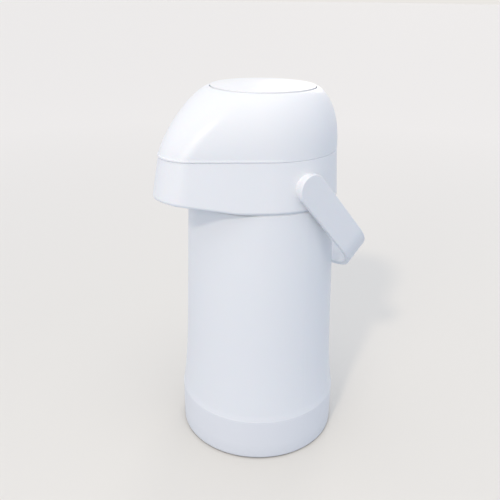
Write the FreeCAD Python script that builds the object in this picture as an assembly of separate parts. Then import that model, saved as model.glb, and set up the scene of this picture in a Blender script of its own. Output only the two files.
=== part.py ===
import FreeCAD, Part
import math
import os

from FreeCAD import Vector

# A pump pot of about one litre, in millimetres, +Z up.
# The origin is on the pot's axis, on the table. The beak points to -Y, the handle
# hangs on the +Y side and its two studs lie along X.

# Base cup, the band at the foot
BASE_RADIUS = 66.9
BASE_HEIGHT = 38.0
BASE_WALL = 2.6
BASE_FLOOR = 2.4
BASE_FOOT_ROUND = 2.2
BASE_TOP_ROUND = 1.0
FOOT_RING_WIDTH = 5.0
FOOT_RING_HEIGHT = 4.0
FLOOR_RIBS = 8
FLOOR_RIB_WIDTH = 1.6

# Jacket, the conical outer wall: its radii step in from the base cup upwards
JACKET_FOOT_STEP = 0.5
JACKET_FLARE = 4.6
JACKET_FLARE_HEIGHT = 58.0
JACKET_TAPER = 3.8
JACKET_CONE_HEIGHT = 116.6
JACKET_WALL = 2.2
JACKET_SHOULDER_ROUND = 1.6
SPIGOT_DEPTH = 16.0
NECK_WALL = 2.6

# Glass refill, two walls with a vacuum between them
LINER_BOTTOM_RISE = 6.6
LINER_BOTTOM_DEPTH = 26.0
LINER_FLAT = 6.0
LINER_SHOULDER_DROP = 36.6
LINER_SHOULDER_RISE = 22.0
LINER_LIP_DROP = 12.0
LINER_MOUTH_RADIUS = 23.0
GLASS = 1.6
VACUUM_GAP = 3.0
NECK_VACUUM_GAP = 1.6
CUSHION_RADIUS = 31.0
CUSHION_BORE = 12.0
CUSHION_HEIGHT = 12.0
GASKET_THICKNESS = 2.5
GASKET_SKIRT = 8.0
GASKET_SKIRT_WALL = 2.6
NECK_RING_WALL = 2.0
NECK_RING_FLANGE = 1.2
NECK_RING_RISE = 5.0

# Head, both shells: the beak reaches forward of the collar and ends in a round nose
COLLAR_OVERHANG = 2.0
COLLAR_HEIGHT = 37.5
COLLAR_TAPER = 2.4
BEAK_LENGTH = 34.4
BEAK_TAPER = 4.8
RIM_NOSE = 25.0
PART_LINE_NOSE = 23.6
DOME_HEIGHT = 44.0
DOME_RIM_WIDTH = 0.8
DOME_TOP_OVERREACH = 1.5
DOME_TOP_NOSE_STEP = 2.0
DOME_SHOULDER_POWER = 2.5
DOME_BEAK_POWER = 1.3
DOME_ROUND_POWER = 1.4
DOME_SECTIONS = 9
HEAD_WALL = 2.4
PART_LINE_BEVEL = 0.6
LIP_HEIGHT = 3.0
LIP_WALL = 1.4
RIM_ROUND = 2.0
BEAK_LIFT_START = 42.0
BEAK_LIFT_ANGLE = 10.0
BEAK_LIFT_RADIUS = 60.0
DECK = 2.4
DECK_LEDGE = 2.7
SLEEVE_WALL = 2.4
SLEEVE_RISE = 1.0

# Push button and the pump under it
BUTTON_CROWN = 4.0
BUTTON_WALL = 2.2
BUTTON_EDGE_ROUND = 0.9
BUTTON_TRAVEL = 21.0
BUTTON_CATCH = 1.7
BUTTON_CATCH_HEIGHT = 1.5
BUTTON_BOSS_RADIUS = 10.0
BUTTON_RIBS = 6
BUTTON_RIB_WIDTH = 1.4
GUIDE_WALL = 1.8
SEAT_RISE = 0.8
SEAT = 2.2
SEAT_EDGE = 3.1
BELLOWS_FOLD_DEPTH = 7.1
BELLOWS_WALL = 1.2
BELLOWS_FOLDS = 5
BELLOWS_BEAD = 1.4
BELLOWS_BEAD_STEP = 2.4
BELLOWS_DROP = 9.6
CAP_EDGE = 1.5
CLAMP_WALL = 2.6
CLAMP_LIP = 2.0
SPRING_RADIUS = 17.0
SPRING_WIRE = 0.9
SPRING_SIDES = 8
SPRING_TURNS = 4.0
SPRING_STEPS = 12

# Stopper, dip tube and outlet
STOPPER_FLANGE = 2.2
STOPPER_EDGE = 2.3
STOPPER_WALL = 2.5
STOPPER_PLATE = 2.5
SEAL = 2.2
SEAL_INSET = 0.2
SEAL_EDGE = 0.5
SOCKET_WALL = 2.9
SOCKET_DROP = 14.0
SOCKET_RISE = 11.0
GROMMET_WALL = 1.8
GROMMET_HEIGHT = 4.0
TUBE_RADIUS = 5.0
TUBE_BORE = 3.6
TUBE_INSERT = 0.5
TUBE_FOOT_GAP = 3.0
TUBE_CUT_ANGLE = 30.0
BALL_RADIUS = 4.3
PIPE_RADIUS = 5.1
PIPE_BORE = 3.9
PIPE_BEND = 7.0
PIPE_INSERT = 2.5
NOZZLE_SETBACK = 20.4
NOZZLE_RADIUS = 8.0
NOZZLE_TIP_RADIUS = 6.0
NOZZLE_TIP_RISE = 2.0
NOZZLE_FLANGE_RADIUS = 11.0
NOZZLE_FLANGE = 2.0
NOZZLE_NECK = 7.0
NOZZLE_SOCKET = 4.5
BEAK_COVER_RISE = 9.5
BEAK_COVER = 2.0
BEAK_COVER_BACK = 25.0
DUCT_Y = 15.5
DUCT_RADIUS = 5.6
DUCT_BORE = 4.0
DUCT_SOCKET_WALL = 1.7
DUCT_SOCKET_HEIGHT = 4.5

# Mushroom valves
VALVE_RADIUS = 5.0
VALVE_DISC = 1.2
VALVE_STEM = 1.2
VALVE_BULB = 1.9
VALVE_BULB_HEIGHT = 1.6
PORT_RADIUS = 0.9
PORT_CIRCLE = 2.9
PORTS = 6

# Screws
SCREW_SHANK = 1.5
SCREW_HEAD = 2.9
SCREW_HEAD_HEIGHT = 1.8
SCREW_DEPTH = 8.0
SCREW_SLOT = 0.8
BOSS_RADIUS = 4.0
SEAT_SCREW_ANGLES = (45.0, 135.0, 225.0, 315.0)
STOPPER_SCREW_EDGE = 2.8
STOPPER_SCREW_ANGLES = (90.0, 210.0, 330.0)
STOPPER_BOSS_HEIGHT = 7.0

# Bail handle
PIVOT_Y = -2.0
PIVOT_RISE = 17.0
STUD_RADIUS = 4.8
STUD_LENGTH = 6.4
PIVOT_BOSS_RADIUS = 10.8
STRAP_WIDTH = 23.0
STRAP = 4.2
STRAP_EDGE_ROUND = 0.8
ARM_STRAIGHT = 62.0
FINGER_ROOM = 37.2

# Clearances
SCREW_FIT = 0.3
THREAD_ROOM = 1.6
LINER_ROOM = 2.8
GLASS_FIT = 0.2
RING_FIT = 0.3
COLLAR_GAP = 0.9
LIP_FIT = 0.3
BUTTON_FIT = 0.6
BUTTON_ROOM = 1.9
CATCH_FIT = 0.4
STROKE_ROOM = 1.1
SEAT_SCREW_ROOM = 1.5
CLAMP_SCREW_ROOM = 4.2
PIPE_ROOM = 1.9
PIPE_DECK_ROOM = 2.3
STOPPER_SCREW_ROOM = 2.5
SCREW_HEAD_ROOM = 0.4
FLANGE_GAP = 0.6
PLUG_FIT = 0.3
TUBE_FIT = 0.3
BALL_FIT = 0.2
STUD_FIT = 0.06
STUD_END_FIT = 0.4
STRAP_FIT = 0.7
BOSS_FIT = 0.3
HANDLE_REST_GAP = 0.3
PIN_FIT = 0.05
SPRING_FIT = 0.1

# Base cup and jacket, worked out from the sizes above
BASE_SOCKET = BASE_RADIUS - BASE_WALL
SPIGOT_RADIUS = BASE_SOCKET - SCREW_FIT
FLOOR_Z = FOOT_RING_HEIGHT
FLOOR_TOP_Z = FLOOR_Z + BASE_FLOOR
JACKET_FOOT_RADIUS = BASE_RADIUS - JACKET_FOOT_STEP
JACKET_WAIST_RADIUS = JACKET_FOOT_RADIUS - JACKET_FLARE
JACKET_WAIST_Z = BASE_HEIGHT + JACKET_FLARE_HEIGHT
JACKET_TOP_RADIUS = JACKET_WAIST_RADIUS - JACKET_TAPER
JACKET_TOP_Z = JACKET_WAIST_Z + JACKET_CONE_HEIGHT

# Heights of the head: up from the jacket to the pump's seat, then down past the outlet pipe
# and the deck to the neck and the lip of the glass
RIM_Z = JACKET_TOP_Z + COLLAR_GAP
PART_LINE_Z = RIM_Z + COLLAR_HEIGHT
SEAT_Z = PART_LINE_Z + SEAT_RISE
PIPE_Z = SEAT_Z - PIPE_ROOM - PIPE_RADIUS
DECK_TOP_Z = PIPE_Z - PIPE_RADIUS - PIPE_DECK_ROOM
DECK_Z = DECK_TOP_Z - DECK
STOPPER_FLANGE_Z = DECK_Z - STOPPER_FLANGE
NECK_TOP_Z = STOPPER_FLANGE_Z - FLANGE_GAP - NECK_RING_FLANGE
LINER_LIP_Z = NECK_TOP_Z - LINER_LIP_DROP

# Glass refill
LINER_RADIUS = JACKET_TOP_RADIUS - JACKET_WALL - LINER_ROOM
LINER_BOTTOM_Z = FLOOR_TOP_Z + LINER_BOTTOM_RISE
LINER_BOTTOM_CENTRE_Z = LINER_BOTTOM_Z + LINER_BOTTOM_DEPTH
LINER_SHOULDER_Z = JACKET_TOP_Z - LINER_SHOULDER_DROP
INNER_INSET = GLASS + VACUUM_GAP
MOUTH_OUTER = LINER_MOUTH_RADIUS + GLASS
LINER_NECK_BORE = MOUTH_OUTER + NECK_VACUUM_GAP
LINER_NECK_RADIUS = LINER_NECK_BORE + GLASS
LIP_SEAT_Z = LINER_LIP_Z - (LINER_NECK_RADIUS - LINER_MOUTH_RADIUS) / 2
NECK_RING_Z = LINER_LIP_Z + GASKET_THICKNESS
NECK_RING_THROAT = LINER_NECK_RADIUS + GASKET_SKIRT_WALL + 2 * RING_FIT

# Neck: from the glass mouth out to the seal, the stopper, its screws, the funnel and the neck
SEAL_INNER = MOUTH_OUTER + SEAL_INSET
SEAL_OUTER = NECK_RING_THROAT - SEAL_EDGE
STOPPER_RADIUS = SEAL_OUTER + STOPPER_EDGE
STOPPER_SCREW_CIRCLE = STOPPER_RADIUS + SCREW_HEAD + STOPPER_SCREW_ROOM
STOPPER_FLANGE_RADIUS = STOPPER_SCREW_CIRCLE + STOPPER_SCREW_EDGE
NECK_RING_BORE = STOPPER_SCREW_CIRCLE + SCREW_HEAD + SCREW_HEAD_ROOM
NECK_BORE = NECK_RING_BORE + NECK_RING_WALL + RING_FIT
NECK_RADIUS = NECK_BORE + NECK_WALL

# Head
RIM_RADIUS = JACKET_TOP_RADIUS + COLLAR_OVERHANG
RIM_REACH = RIM_RADIUS + BEAK_LENGTH
PART_LINE_RADIUS = RIM_RADIUS - COLLAR_TAPER
PART_LINE_REACH = RIM_REACH - COLLAR_TAPER - BEAK_TAPER
DOME_TOP_Z = PART_LINE_Z + DOME_HEIGHT
SLEEVE_BORE = NECK_RADIUS + THREAD_ROOM
SLEEVE_RADIUS = SLEEVE_BORE + SLEEVE_WALL

# Pump: the seat's screws stand inside the head's lip, the bellows inside the screws,
# and the button's skirt goes round the bellows
SEAT_TOP_Z = SEAT_Z + SEAT
SEAT_SCREW_CIRCLE = PART_LINE_RADIUS - HEAD_WALL - LIP_FIT - LIP_WALL - BOSS_RADIUS - SEAT_SCREW_ROOM
CLAMP_RADIUS = SEAT_SCREW_CIRCLE - SCREW_HEAD - CLAMP_SCREW_ROOM
CLAMP_BORE = CLAMP_RADIUS - CLAMP_WALL
CLAMP_TOP_Z = SEAT_TOP_Z + BELLOWS_BEAD + CLAMP_LIP
SEAT_RADIUS = CLAMP_RADIUS + SEAT_EDGE
BELLOWS_BEAD_RADIUS = CLAMP_BORE - RING_FIT
BELLOWS_RADIUS = BELLOWS_BEAD_RADIUS - BELLOWS_BEAD_STEP
BELLOWS_ROOT = BELLOWS_RADIUS - BELLOWS_FOLD_DEPTH
BELLOWS_TOP_Z = DOME_TOP_Z - BELLOWS_DROP
CAP_RADIUS = BELLOWS_ROOT + CAP_EDGE
CAP_TOP_Z = BELLOWS_TOP_Z + SEAT
BUTTON_RADIUS = BELLOWS_RADIUS + BUTTON_ROOM + BUTTON_WALL
BUTTON_OPENING = BUTTON_RADIUS + BUTTON_FIT
BUTTON_TOP_Z = DOME_TOP_Z + BUTTON_CROWN
SKIRT_BOTTOM_Z = CLAMP_TOP_Z + STROKE_ROOM + BUTTON_TRAVEL
GUIDE_BOTTOM_Z = SKIRT_BOTTOM_Z + BUTTON_CATCH_HEIGHT + CATCH_FIT
DOME_TOP_RADIUS = BUTTON_OPENING + DOME_RIM_WIDTH

# Stopper, dip tube and outlet
SEAL_Z = NECK_RING_Z + NECK_RING_WALL + PLUG_FIT
STOPPER_PLATE_Z = SEAL_Z + SEAL
STOPPER_PLATE_TOP_Z = STOPPER_PLATE_Z + STOPPER_PLATE
DECK_OPENING = STOPPER_SCREW_CIRCLE - DECK_LEDGE
SOCKET_BORE = TUBE_RADIUS + TUBE_FIT
SOCKET_RADIUS = SOCKET_BORE + SOCKET_WALL
SOCKET_BOTTOM_Z = STOPPER_PLATE_Z - SOCKET_DROP
SOCKET_TOP_Z = STOPPER_PLATE_Z + SOCKET_RISE
TUBE_TOP_Z = STOPPER_PLATE_Z + TUBE_INSERT
BEAK_COVER_Z = RIM_Z + BEAK_COVER_RISE
BEAK_COVER_TOP_Z = BEAK_COVER_Z + BEAK_COVER
NOZZLE_Y = NOZZLE_SETBACK - RIM_REACH
NOZZLE_TIP_Z = RIM_Z + NOZZLE_TIP_RISE
NOZZLE_TOP_Z = BEAK_COVER_TOP_Z + NOZZLE_FLANGE + NOZZLE_NECK
PIPE_END_Z = NOZZLE_TOP_Z - NOZZLE_SOCKET

# Bail handle
PIVOT_Z = RIM_Z + PIVOT_RISE
STRAP_INNER = RIM_RADIUS + STRAP_FIT
STRAP_OUTER = STRAP_INNER + STRAP
BOSS_FACE = STRAP_INNER - BOSS_FIT
STUD_END = STRAP_INNER - STUD_LENGTH
HANDLE_REACH = BUTTON_TOP_Z - PIVOT_Z + FINGER_ROOM
ARCH_RISE = HANDLE_REACH - ARM_STRAIGHT
FAR = 400.0
AXIS = Vector(0, 0, 1)
ORIGIN = Vector(0, 0, 0)


def line(start, end):
    """Straight edge between two (radius, height) points of a turned profile."""
    return Part.makeLine(Vector(start[0], 0, start[1]), Vector(end[0], 0, end[1]))


def arc(start, middle, end):
    """Round edge through three (radius, height) points of a turned profile."""
    points = [Vector(r, 0, z) for r, z in (start, middle, end)]
    return Part.Arc(*points).toShape()


def ellipse_arc(middle, side, end, start, stop):
    """Arc of an ellipse between two angles, counted from its side to its end, whichever axis is longer."""
    if (side - middle).Length >= (end - middle).Length:
        return Part.ArcOfEllipse(Part.Ellipse(side, end, middle), start, stop).toShape()
    quarter = math.pi / 2
    turned = Part.Ellipse(end, middle - (side - middle), middle)
    return Part.ArcOfEllipse(turned, start - quarter, stop - quarter).toShape()


def quarter_ellipse(centre, wide, tall, flat=0.0):
    """Part of an ellipse from its side towards its top, or bottom if tall < 0, up to a flat spot."""
    middle = Vector(centre[0], 0, centre[1])
    side = middle + Vector(wide, 0, 0)
    end = middle + Vector(0, 0, tall)
    return ellipse_arc(middle, side, end, 0, math.acos(flat / wide))


def flat_spot_z(centre_z, wide, depth, flat):
    """Height of the flat spot that ends an ellipse below its centre."""
    return centre_z - depth * math.sqrt(1 - (flat / wide) ** 2)


def crown_arc(radius, edge_z, rise):
    """Shallow crown about the axis, from its top to its edge."""
    sphere = (radius ** 2 + rise ** 2) / (2 * rise)
    middle = radius / 2
    middle_z = edge_z + rise - sphere + math.sqrt(sphere ** 2 - middle ** 2)
    return arc((0, edge_z + rise), (middle, middle_z), (radius, edge_z))


def turn(edges):
    """Solid of revolution about the pot's axis from the edges of a closed profile."""
    wire = Part.Wire(Part.__sortEdges__(edges))
    return Part.Face(wire).revolve(ORIGIN, AXIS, 360)


def turn_points(points):
    """Solid of revolution from a closed profile of straight edges."""
    closed = list(points) + [points[0]]
    return turn([line(a, b) for a, b in zip(closed, closed[1:])])


def ring(inner, outer, bottom, top):
    """Plain ring about the pot's axis."""
    return turn_points([(inner, bottom), (outer, bottom), (outer, top), (inner, top)])


def rod(radius, bottom, top, x=0.0, y=0.0):
    """Upright cylinder at a place in plan."""
    return Part.makeCylinder(radius, top - bottom, Vector(x, y, bottom))


def around(circle, angles):
    """Places in plan on a circle, at angles in degrees."""
    places = []
    for angle in angles:
        turned = math.radians(angle)
        places.append((circle * math.cos(turned), circle * math.sin(turned)))
    return places


def evenly(count, start=0.0):
    """Angles in degrees of an even pattern round the axis."""
    return [start + 360.0 * i / count for i in range(count)]


def fuse(shapes):
    """One solid from several that touch."""
    first = shapes[0]
    return first.fuse(shapes[1:]).removeSplitter()


def tangent_arc(start, direction, end):
    """Round edge that leaves start along direction and ends at end."""
    chord = (end[0] - start[0], end[1] - start[1])
    length = math.hypot(*direction)
    normal = (-direction[1] / length, direction[0] / length)
    across = chord[0] * normal[0] + chord[1] * normal[1]
    radius = (chord[0] ** 2 + chord[1] ** 2) / (2 * across)
    centre = (start[0] + radius * normal[0], start[1] + radius * normal[1])
    half = ((start[0] + end[0]) / 2 - centre[0], (start[1] + end[1]) / 2 - centre[1])
    stretch = abs(radius) / math.hypot(*half)
    middle = (centre[0] + half[0] * stretch, centre[1] + half[1] * stretch)
    return arc(start, middle, end)


def jacket_radius(z):
    """Outer radius of the jacket's straight cone at a height."""
    share = (z - JACKET_WAIST_Z) / (JACKET_TOP_Z - JACKET_WAIST_Z)
    return JACKET_WAIST_RADIUS + (JACKET_TOP_RADIUS - JACKET_WAIST_RADIUS) * share


def head_section(z):
    """Half width, reach and nose radius of the head's outline at a height."""
    if z <= PART_LINE_Z:
        share = (z - RIM_Z) / (PART_LINE_Z - RIM_Z)
        radius = RIM_RADIUS + (PART_LINE_RADIUS - RIM_RADIUS) * share
        reach = RIM_REACH + (PART_LINE_REACH - RIM_REACH) * share
        nose = RIM_NOSE + (PART_LINE_NOSE - RIM_NOSE) * share
        return radius, reach, nose
    share = min(1.0, (z - PART_LINE_Z) / (DOME_TOP_Z - PART_LINE_Z))
    top_reach = DOME_TOP_RADIUS + DOME_TOP_OVERREACH
    top_nose = DOME_TOP_RADIUS - DOME_TOP_NOSE_STEP
    side = (1 - share ** DOME_SHOULDER_POWER) ** (1 / DOME_ROUND_POWER)
    beak = (1 - share ** DOME_BEAK_POWER) ** (1 / DOME_ROUND_POWER)
    radius = DOME_TOP_RADIUS + (PART_LINE_RADIUS - DOME_TOP_RADIUS) * side
    reach = top_reach + (PART_LINE_REACH - top_reach) * beak
    nose = PART_LINE_NOSE + (top_nose - PART_LINE_NOSE) * share
    return radius, reach, nose


def outline(section, inset, z):
    """Closed outline at a height: round back, two straight sides and a round nose."""
    radius, reach, nose = section
    centre = reach - nose
    tilt = -(radius - nose) / centre
    normal = Vector(math.sqrt(1 - tilt ** 2), tilt, 0)
    mirrored = Vector(-normal.x, normal.y, 0)
    lift = Vector(0, 0, z)
    nose_centre = Vector(0, -centre, z)
    back = radius - inset
    front = nose - inset
    right_front = nose_centre + normal * front
    right_back = lift + normal * back
    left_back = lift + mirrored * back
    left_front = nose_centre + mirrored * front
    edges = [
        Part.makeLine(right_front, right_back),
        Part.Arc(right_back, lift + Vector(0, back, 0), left_back).toShape(),
        Part.makeLine(left_back, left_front),
        Part.Arc(left_front, nose_centre + Vector(0, -front, 0), right_front).toShape(),
    ]
    return Part.Wire(edges)


def head_prism(inset, levels):
    """Straight-sided block of the head's outline, from (section height, height, extra inset)."""
    wires = [outline(head_section(at), inset + extra, z) for at, z, extra in levels]
    return Part.makeLoft(wires, True, True)


def dome_block(inset, drop):
    """Rounded block of the upper head, set in from the outside and lowered at its top."""
    wires = []
    for i in range(DOME_SECTIONS):
        share = math.sin(math.pi / 2 * i / (DOME_SECTIONS - 1))
        section = head_section(PART_LINE_Z + (DOME_TOP_Z - PART_LINE_Z) * share)
        height = PART_LINE_Z + (DOME_TOP_Z - drop - PART_LINE_Z) * share
        wires.append(outline(section, inset, height))
    return Part.makeLoft(wires, True, False)


def make_base_cup():
    """Cup that screws on the jacket's spigot and stands on a foot ring."""
    rounded = BASE_FOOT_ROUND
    tip = BASE_TOP_ROUND
    slant = math.sqrt(0.5)
    foot = BASE_RADIUS - rounded
    ring_inner = foot - FOOT_RING_WIDTH
    low_centre = (foot, rounded)
    top_centre = (BASE_RADIUS - tip, BASE_HEIGHT - tip)
    low_middle = (low_centre[0] + rounded * slant, low_centre[1] - rounded * slant)
    top_middle = (top_centre[0] + tip * slant, top_centre[1] + tip * slant)
    edges = [
        line((0, FLOOR_Z), (ring_inner, FLOOR_Z)),
        line((ring_inner, FLOOR_Z), (ring_inner, 0)),
        line((ring_inner, 0), (foot, 0)),
        arc((foot, 0), low_middle, (BASE_RADIUS, rounded)),
        line((BASE_RADIUS, rounded), (BASE_RADIUS, top_centre[1])),
        arc((BASE_RADIUS, top_centre[1]), top_middle, (top_centre[0], BASE_HEIGHT)),
        line((top_centre[0], BASE_HEIGHT), (BASE_SOCKET, BASE_HEIGHT)),
        line((BASE_SOCKET, BASE_HEIGHT), (BASE_SOCKET, FLOOR_TOP_Z)),
        line((BASE_SOCKET, FLOOR_TOP_Z), (0, FLOOR_TOP_Z)),
        line((0, FLOOR_TOP_Z), (0, FLOOR_Z)),
    ]
    cup = turn(edges)
    ribs = []
    for angle in evenly(FLOOR_RIBS):
        rib = Part.makeBox(ring_inner - CUSHION_RADIUS, FLOOR_RIB_WIDTH, FLOOR_Z / 2)
        rib.translate(Vector(CUSHION_RADIUS, -FLOOR_RIB_WIDTH / 2, FLOOR_Z / 2))
        rib.rotate(ORIGIN, AXIS, angle)
        ribs.append(rib)
    return fuse([cup] + ribs)


def make_jacket():
    """Conical wall with a flared foot, a spigot below and a screw neck above."""
    wall = JACKET_WALL
    foot = (JACKET_FOOT_RADIUS, BASE_HEIGHT)
    waist = (JACKET_WAIST_RADIUS, JACKET_WAIST_Z)
    cone = (JACKET_WAIST_RADIUS - JACKET_TOP_RADIUS, JACKET_WAIST_Z - JACKET_TOP_Z)
    rounded = JACKET_SHOULDER_ROUND
    slant = math.sqrt(0.5)
    side_end = (jacket_radius(JACKET_TOP_Z - rounded), JACKET_TOP_Z - rounded)
    shoulder = (JACKET_TOP_RADIUS - rounded, JACKET_TOP_Z)
    bend = (shoulder[0] + rounded * slant, side_end[1] + rounded * slant)
    spigot_bottom = BASE_HEIGHT - SPIGOT_DEPTH
    spigot_bore = SPIGOT_RADIUS - wall
    inner_foot = (JACKET_FOOT_RADIUS - wall - SCREW_FIT - BASE_WALL, BASE_HEIGHT + wall)
    inner_waist = (JACKET_WAIST_RADIUS - wall, JACKET_WAIST_Z)
    inner_top = (JACKET_TOP_RADIUS - wall, JACKET_TOP_Z - wall)
    edges = [
        line((SPIGOT_RADIUS, spigot_bottom), (SPIGOT_RADIUS, BASE_HEIGHT)),
        line((SPIGOT_RADIUS, BASE_HEIGHT), foot),
        tangent_arc(waist, cone, foot),
        line(waist, side_end),
        arc(side_end, bend, shoulder),
        line(shoulder, (NECK_RADIUS, JACKET_TOP_Z)),
        line((NECK_RADIUS, JACKET_TOP_Z), (NECK_RADIUS, NECK_TOP_Z)),
        line((NECK_RADIUS, NECK_TOP_Z), (NECK_BORE, NECK_TOP_Z)),
        line((NECK_BORE, NECK_TOP_Z), (NECK_BORE, inner_top[1])),
        line((NECK_BORE, inner_top[1]), inner_top),
        line(inner_top, inner_waist),
        line(inner_waist, inner_foot),
        line(inner_foot, (spigot_bore, BASE_HEIGHT)),
        line((spigot_bore, BASE_HEIGHT), (spigot_bore, spigot_bottom)),
        line((spigot_bore, spigot_bottom), (SPIGOT_RADIUS, spigot_bottom)),
    ]
    return turn(edges)


def liner_bottom(inset):
    """Profile edges of the rounded bottom of one glass wall."""
    outer = LINER_RADIUS - inset
    inner = outer - GLASS
    centre_z = LINER_BOTTOM_CENTRE_Z
    depth = LINER_BOTTOM_DEPTH - inset
    flat = LINER_FLAT
    bottom_outer = flat_spot_z(centre_z, outer, depth, flat)
    bottom_inner = flat_spot_z(centre_z, inner, depth - GLASS, flat)
    return [
        line((flat, bottom_inner), (0, bottom_inner)),
        line((0, bottom_inner), (0, bottom_outer)),
        line((0, bottom_outer), (flat, bottom_outer)),
        quarter_ellipse((0, centre_z), outer, -depth, flat),
        quarter_ellipse((0, centre_z), inner, -(depth - GLASS), flat),
    ]


def liner_shoulder(inset, neck):
    """Profile edges of the shoulder of one glass wall, from its straight side in to its neck."""
    outer = LINER_RADIUS - inset
    rise = LINER_SHOULDER_RISE - inset
    top = LINER_SHOULDER_Z
    return [
        quarter_ellipse((neck, top), outer - neck, rise),
        quarter_ellipse((neck, top), outer - GLASS - neck, rise - GLASS),
    ]


def make_liner_outer_glass():
    """Outer glass wall, with the lip that turns over to the inner wall."""
    inner = LINER_RADIUS - GLASS
    low = LINER_BOTTOM_CENTRE_Z
    top = LINER_SHOULDER_Z
    neck_z = top + LINER_SHOULDER_RISE
    lip_centre = (LINER_NECK_RADIUS + LINER_MOUTH_RADIUS) / 2
    edges = liner_bottom(0.0) + liner_shoulder(0.0, LINER_NECK_RADIUS)
    edges += [
        line((LINER_RADIUS, low), (LINER_RADIUS, top)),
        line((inner, low), (inner, top)),
        line((LINER_NECK_RADIUS, neck_z), (LINER_NECK_RADIUS, LIP_SEAT_Z)),
        arc((LINER_NECK_RADIUS, LIP_SEAT_Z), (lip_centre, LINER_LIP_Z), (LINER_MOUTH_RADIUS, LIP_SEAT_Z)),
        line((LINER_MOUTH_RADIUS, LIP_SEAT_Z), (LINER_NECK_BORE, LIP_SEAT_Z)),
        line((LINER_NECK_BORE, LIP_SEAT_Z), (LINER_NECK_BORE, neck_z - GLASS)),
        line((LINER_NECK_BORE, neck_z - GLASS), (LINER_NECK_RADIUS, neck_z - GLASS)),
    ]
    return turn(edges)


def make_liner_inner_glass():
    """Straight inner glass wall that holds the drink."""
    outer = LINER_RADIUS - INNER_INSET
    return ring(outer - GLASS, outer, LINER_BOTTOM_CENTRE_Z, LINER_SHOULDER_Z)


def make_liner_inner_bottom():
    """Rounded bottom of the inner glass, drawn on to its straight wall."""
    outer = LINER_RADIUS - INNER_INSET
    seam = line((outer, LINER_BOTTOM_CENTRE_Z), (outer - GLASS, LINER_BOTTOM_CENTRE_Z))
    return turn(liner_bottom(INNER_INSET) + [seam])


def make_liner_inner_shoulder():
    """Shoulder of the inner glass, from its straight wall in to its neck."""
    outer = LINER_RADIUS - INNER_INSET
    top = LINER_SHOULDER_Z + LINER_SHOULDER_RISE - INNER_INSET
    seams = [
        line((outer, LINER_SHOULDER_Z), (outer - GLASS, LINER_SHOULDER_Z)),
        line((MOUTH_OUTER, top), (MOUTH_OUTER, top - GLASS)),
    ]
    return turn(liner_shoulder(INNER_INSET, MOUTH_OUTER) + seams)


def make_liner_inner_neck():
    """Straight neck of the inner glass, up to the underside of the lip."""
    low = LINER_SHOULDER_Z + LINER_SHOULDER_RISE - INNER_INSET - GLASS
    return ring(LINER_MOUTH_RADIUS, MOUTH_OUTER, low, LIP_SEAT_Z)


def make_liner_cushion():
    """Rubber ring on the cup's floor, hollowed to the glass it carries."""
    block = ring(CUSHION_BORE, CUSHION_RADIUS, FLOOR_TOP_Z, FLOOR_TOP_Z + CUSHION_HEIGHT)
    centre = (0, LINER_BOTTOM_CENTRE_Z)
    wide = LINER_RADIUS + GLASS_FIT
    deep = LINER_BOTTOM_DEPTH + GLASS_FIT
    bowl = turn([
        quarter_ellipse(centre, wide, -deep),
        line((wide, centre[1]), centre),
        line(centre, (0, centre[1] - deep)),
    ])
    return block.cut(bowl)


def make_neck_gasket():
    """Rubber ring on the glass lip, with a skirt round the glass neck."""
    outer = NECK_RING_THROAT - RING_FIT
    skirt = LINER_NECK_RADIUS + RING_FIT
    top = LINER_LIP_Z + GASKET_THICKNESS
    return turn_points([
        (LINER_MOUTH_RADIUS + RING_FIT, LINER_LIP_Z),
        (skirt, LINER_LIP_Z),
        (skirt, LINER_LIP_Z - GASKET_SKIRT),
        (outer, LINER_LIP_Z - GASKET_SKIRT),
        (outer, top),
        (LINER_MOUTH_RADIUS + RING_FIT, top),
    ])


def make_neck_ring():
    """Funnel from the jacket's neck down to the glass mouth."""
    outer = NECK_BORE - RING_FIT
    low = NECK_RING_Z
    wall = NECK_RING_WALL
    flange = NECK_RADIUS - RING_FIT
    return turn_points([
        (MOUTH_OUTER, low),
        (NECK_RING_THROAT, low),
        (outer, low + NECK_RING_RISE),
        (outer, NECK_TOP_Z),
        (flange, NECK_TOP_Z),
        (flange, NECK_TOP_Z + NECK_RING_FLANGE),
        (NECK_RING_BORE, NECK_TOP_Z + NECK_RING_FLANGE),
        (NECK_RING_BORE, low + NECK_RING_RISE + wall),
        (NECK_RING_THROAT, low + wall),
        (MOUTH_OUTER, low + wall),
    ])


def beak_lift():
    """Block below the housing's lower edge, level under the collar and rising to the beak."""
    angle = math.radians(BEAK_LIFT_ANGLE)
    half = angle / 2
    centre_z = RIM_Z + BEAK_LIFT_RADIUS
    bend_middle = Vector(
        0,
        -BEAK_LIFT_START - BEAK_LIFT_RADIUS * math.sin(half),
        centre_z - BEAK_LIFT_RADIUS * math.cos(half),
    )
    bend_end = Vector(
        0,
        -BEAK_LIFT_START - BEAK_LIFT_RADIUS * math.sin(angle),
        centre_z - BEAK_LIFT_RADIUS * math.cos(angle),
    )
    start = Vector(0, -BEAK_LIFT_START, RIM_Z)
    far_front = bend_end + Vector(0, -FAR, FAR * math.tan(angle))
    back = Vector(0, FAR, RIM_Z)
    low_back = Vector(0, FAR, RIM_Z - FAR)
    low_front = Vector(0, far_front.y, RIM_Z - FAR)
    edges = [
        Part.makeLine(back, start),
        Part.Arc(start, bend_middle, bend_end).toShape(),
        Part.makeLine(bend_end, far_front),
        Part.makeLine(far_front, low_front),
        Part.makeLine(low_front, low_back),
        Part.makeLine(low_back, back),
    ]
    block = Part.Face(Part.Wire(edges)).extrude(Vector(2 * FAR, 0, 0))
    block.translate(Vector(-FAR, 0, 0))
    return block


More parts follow.
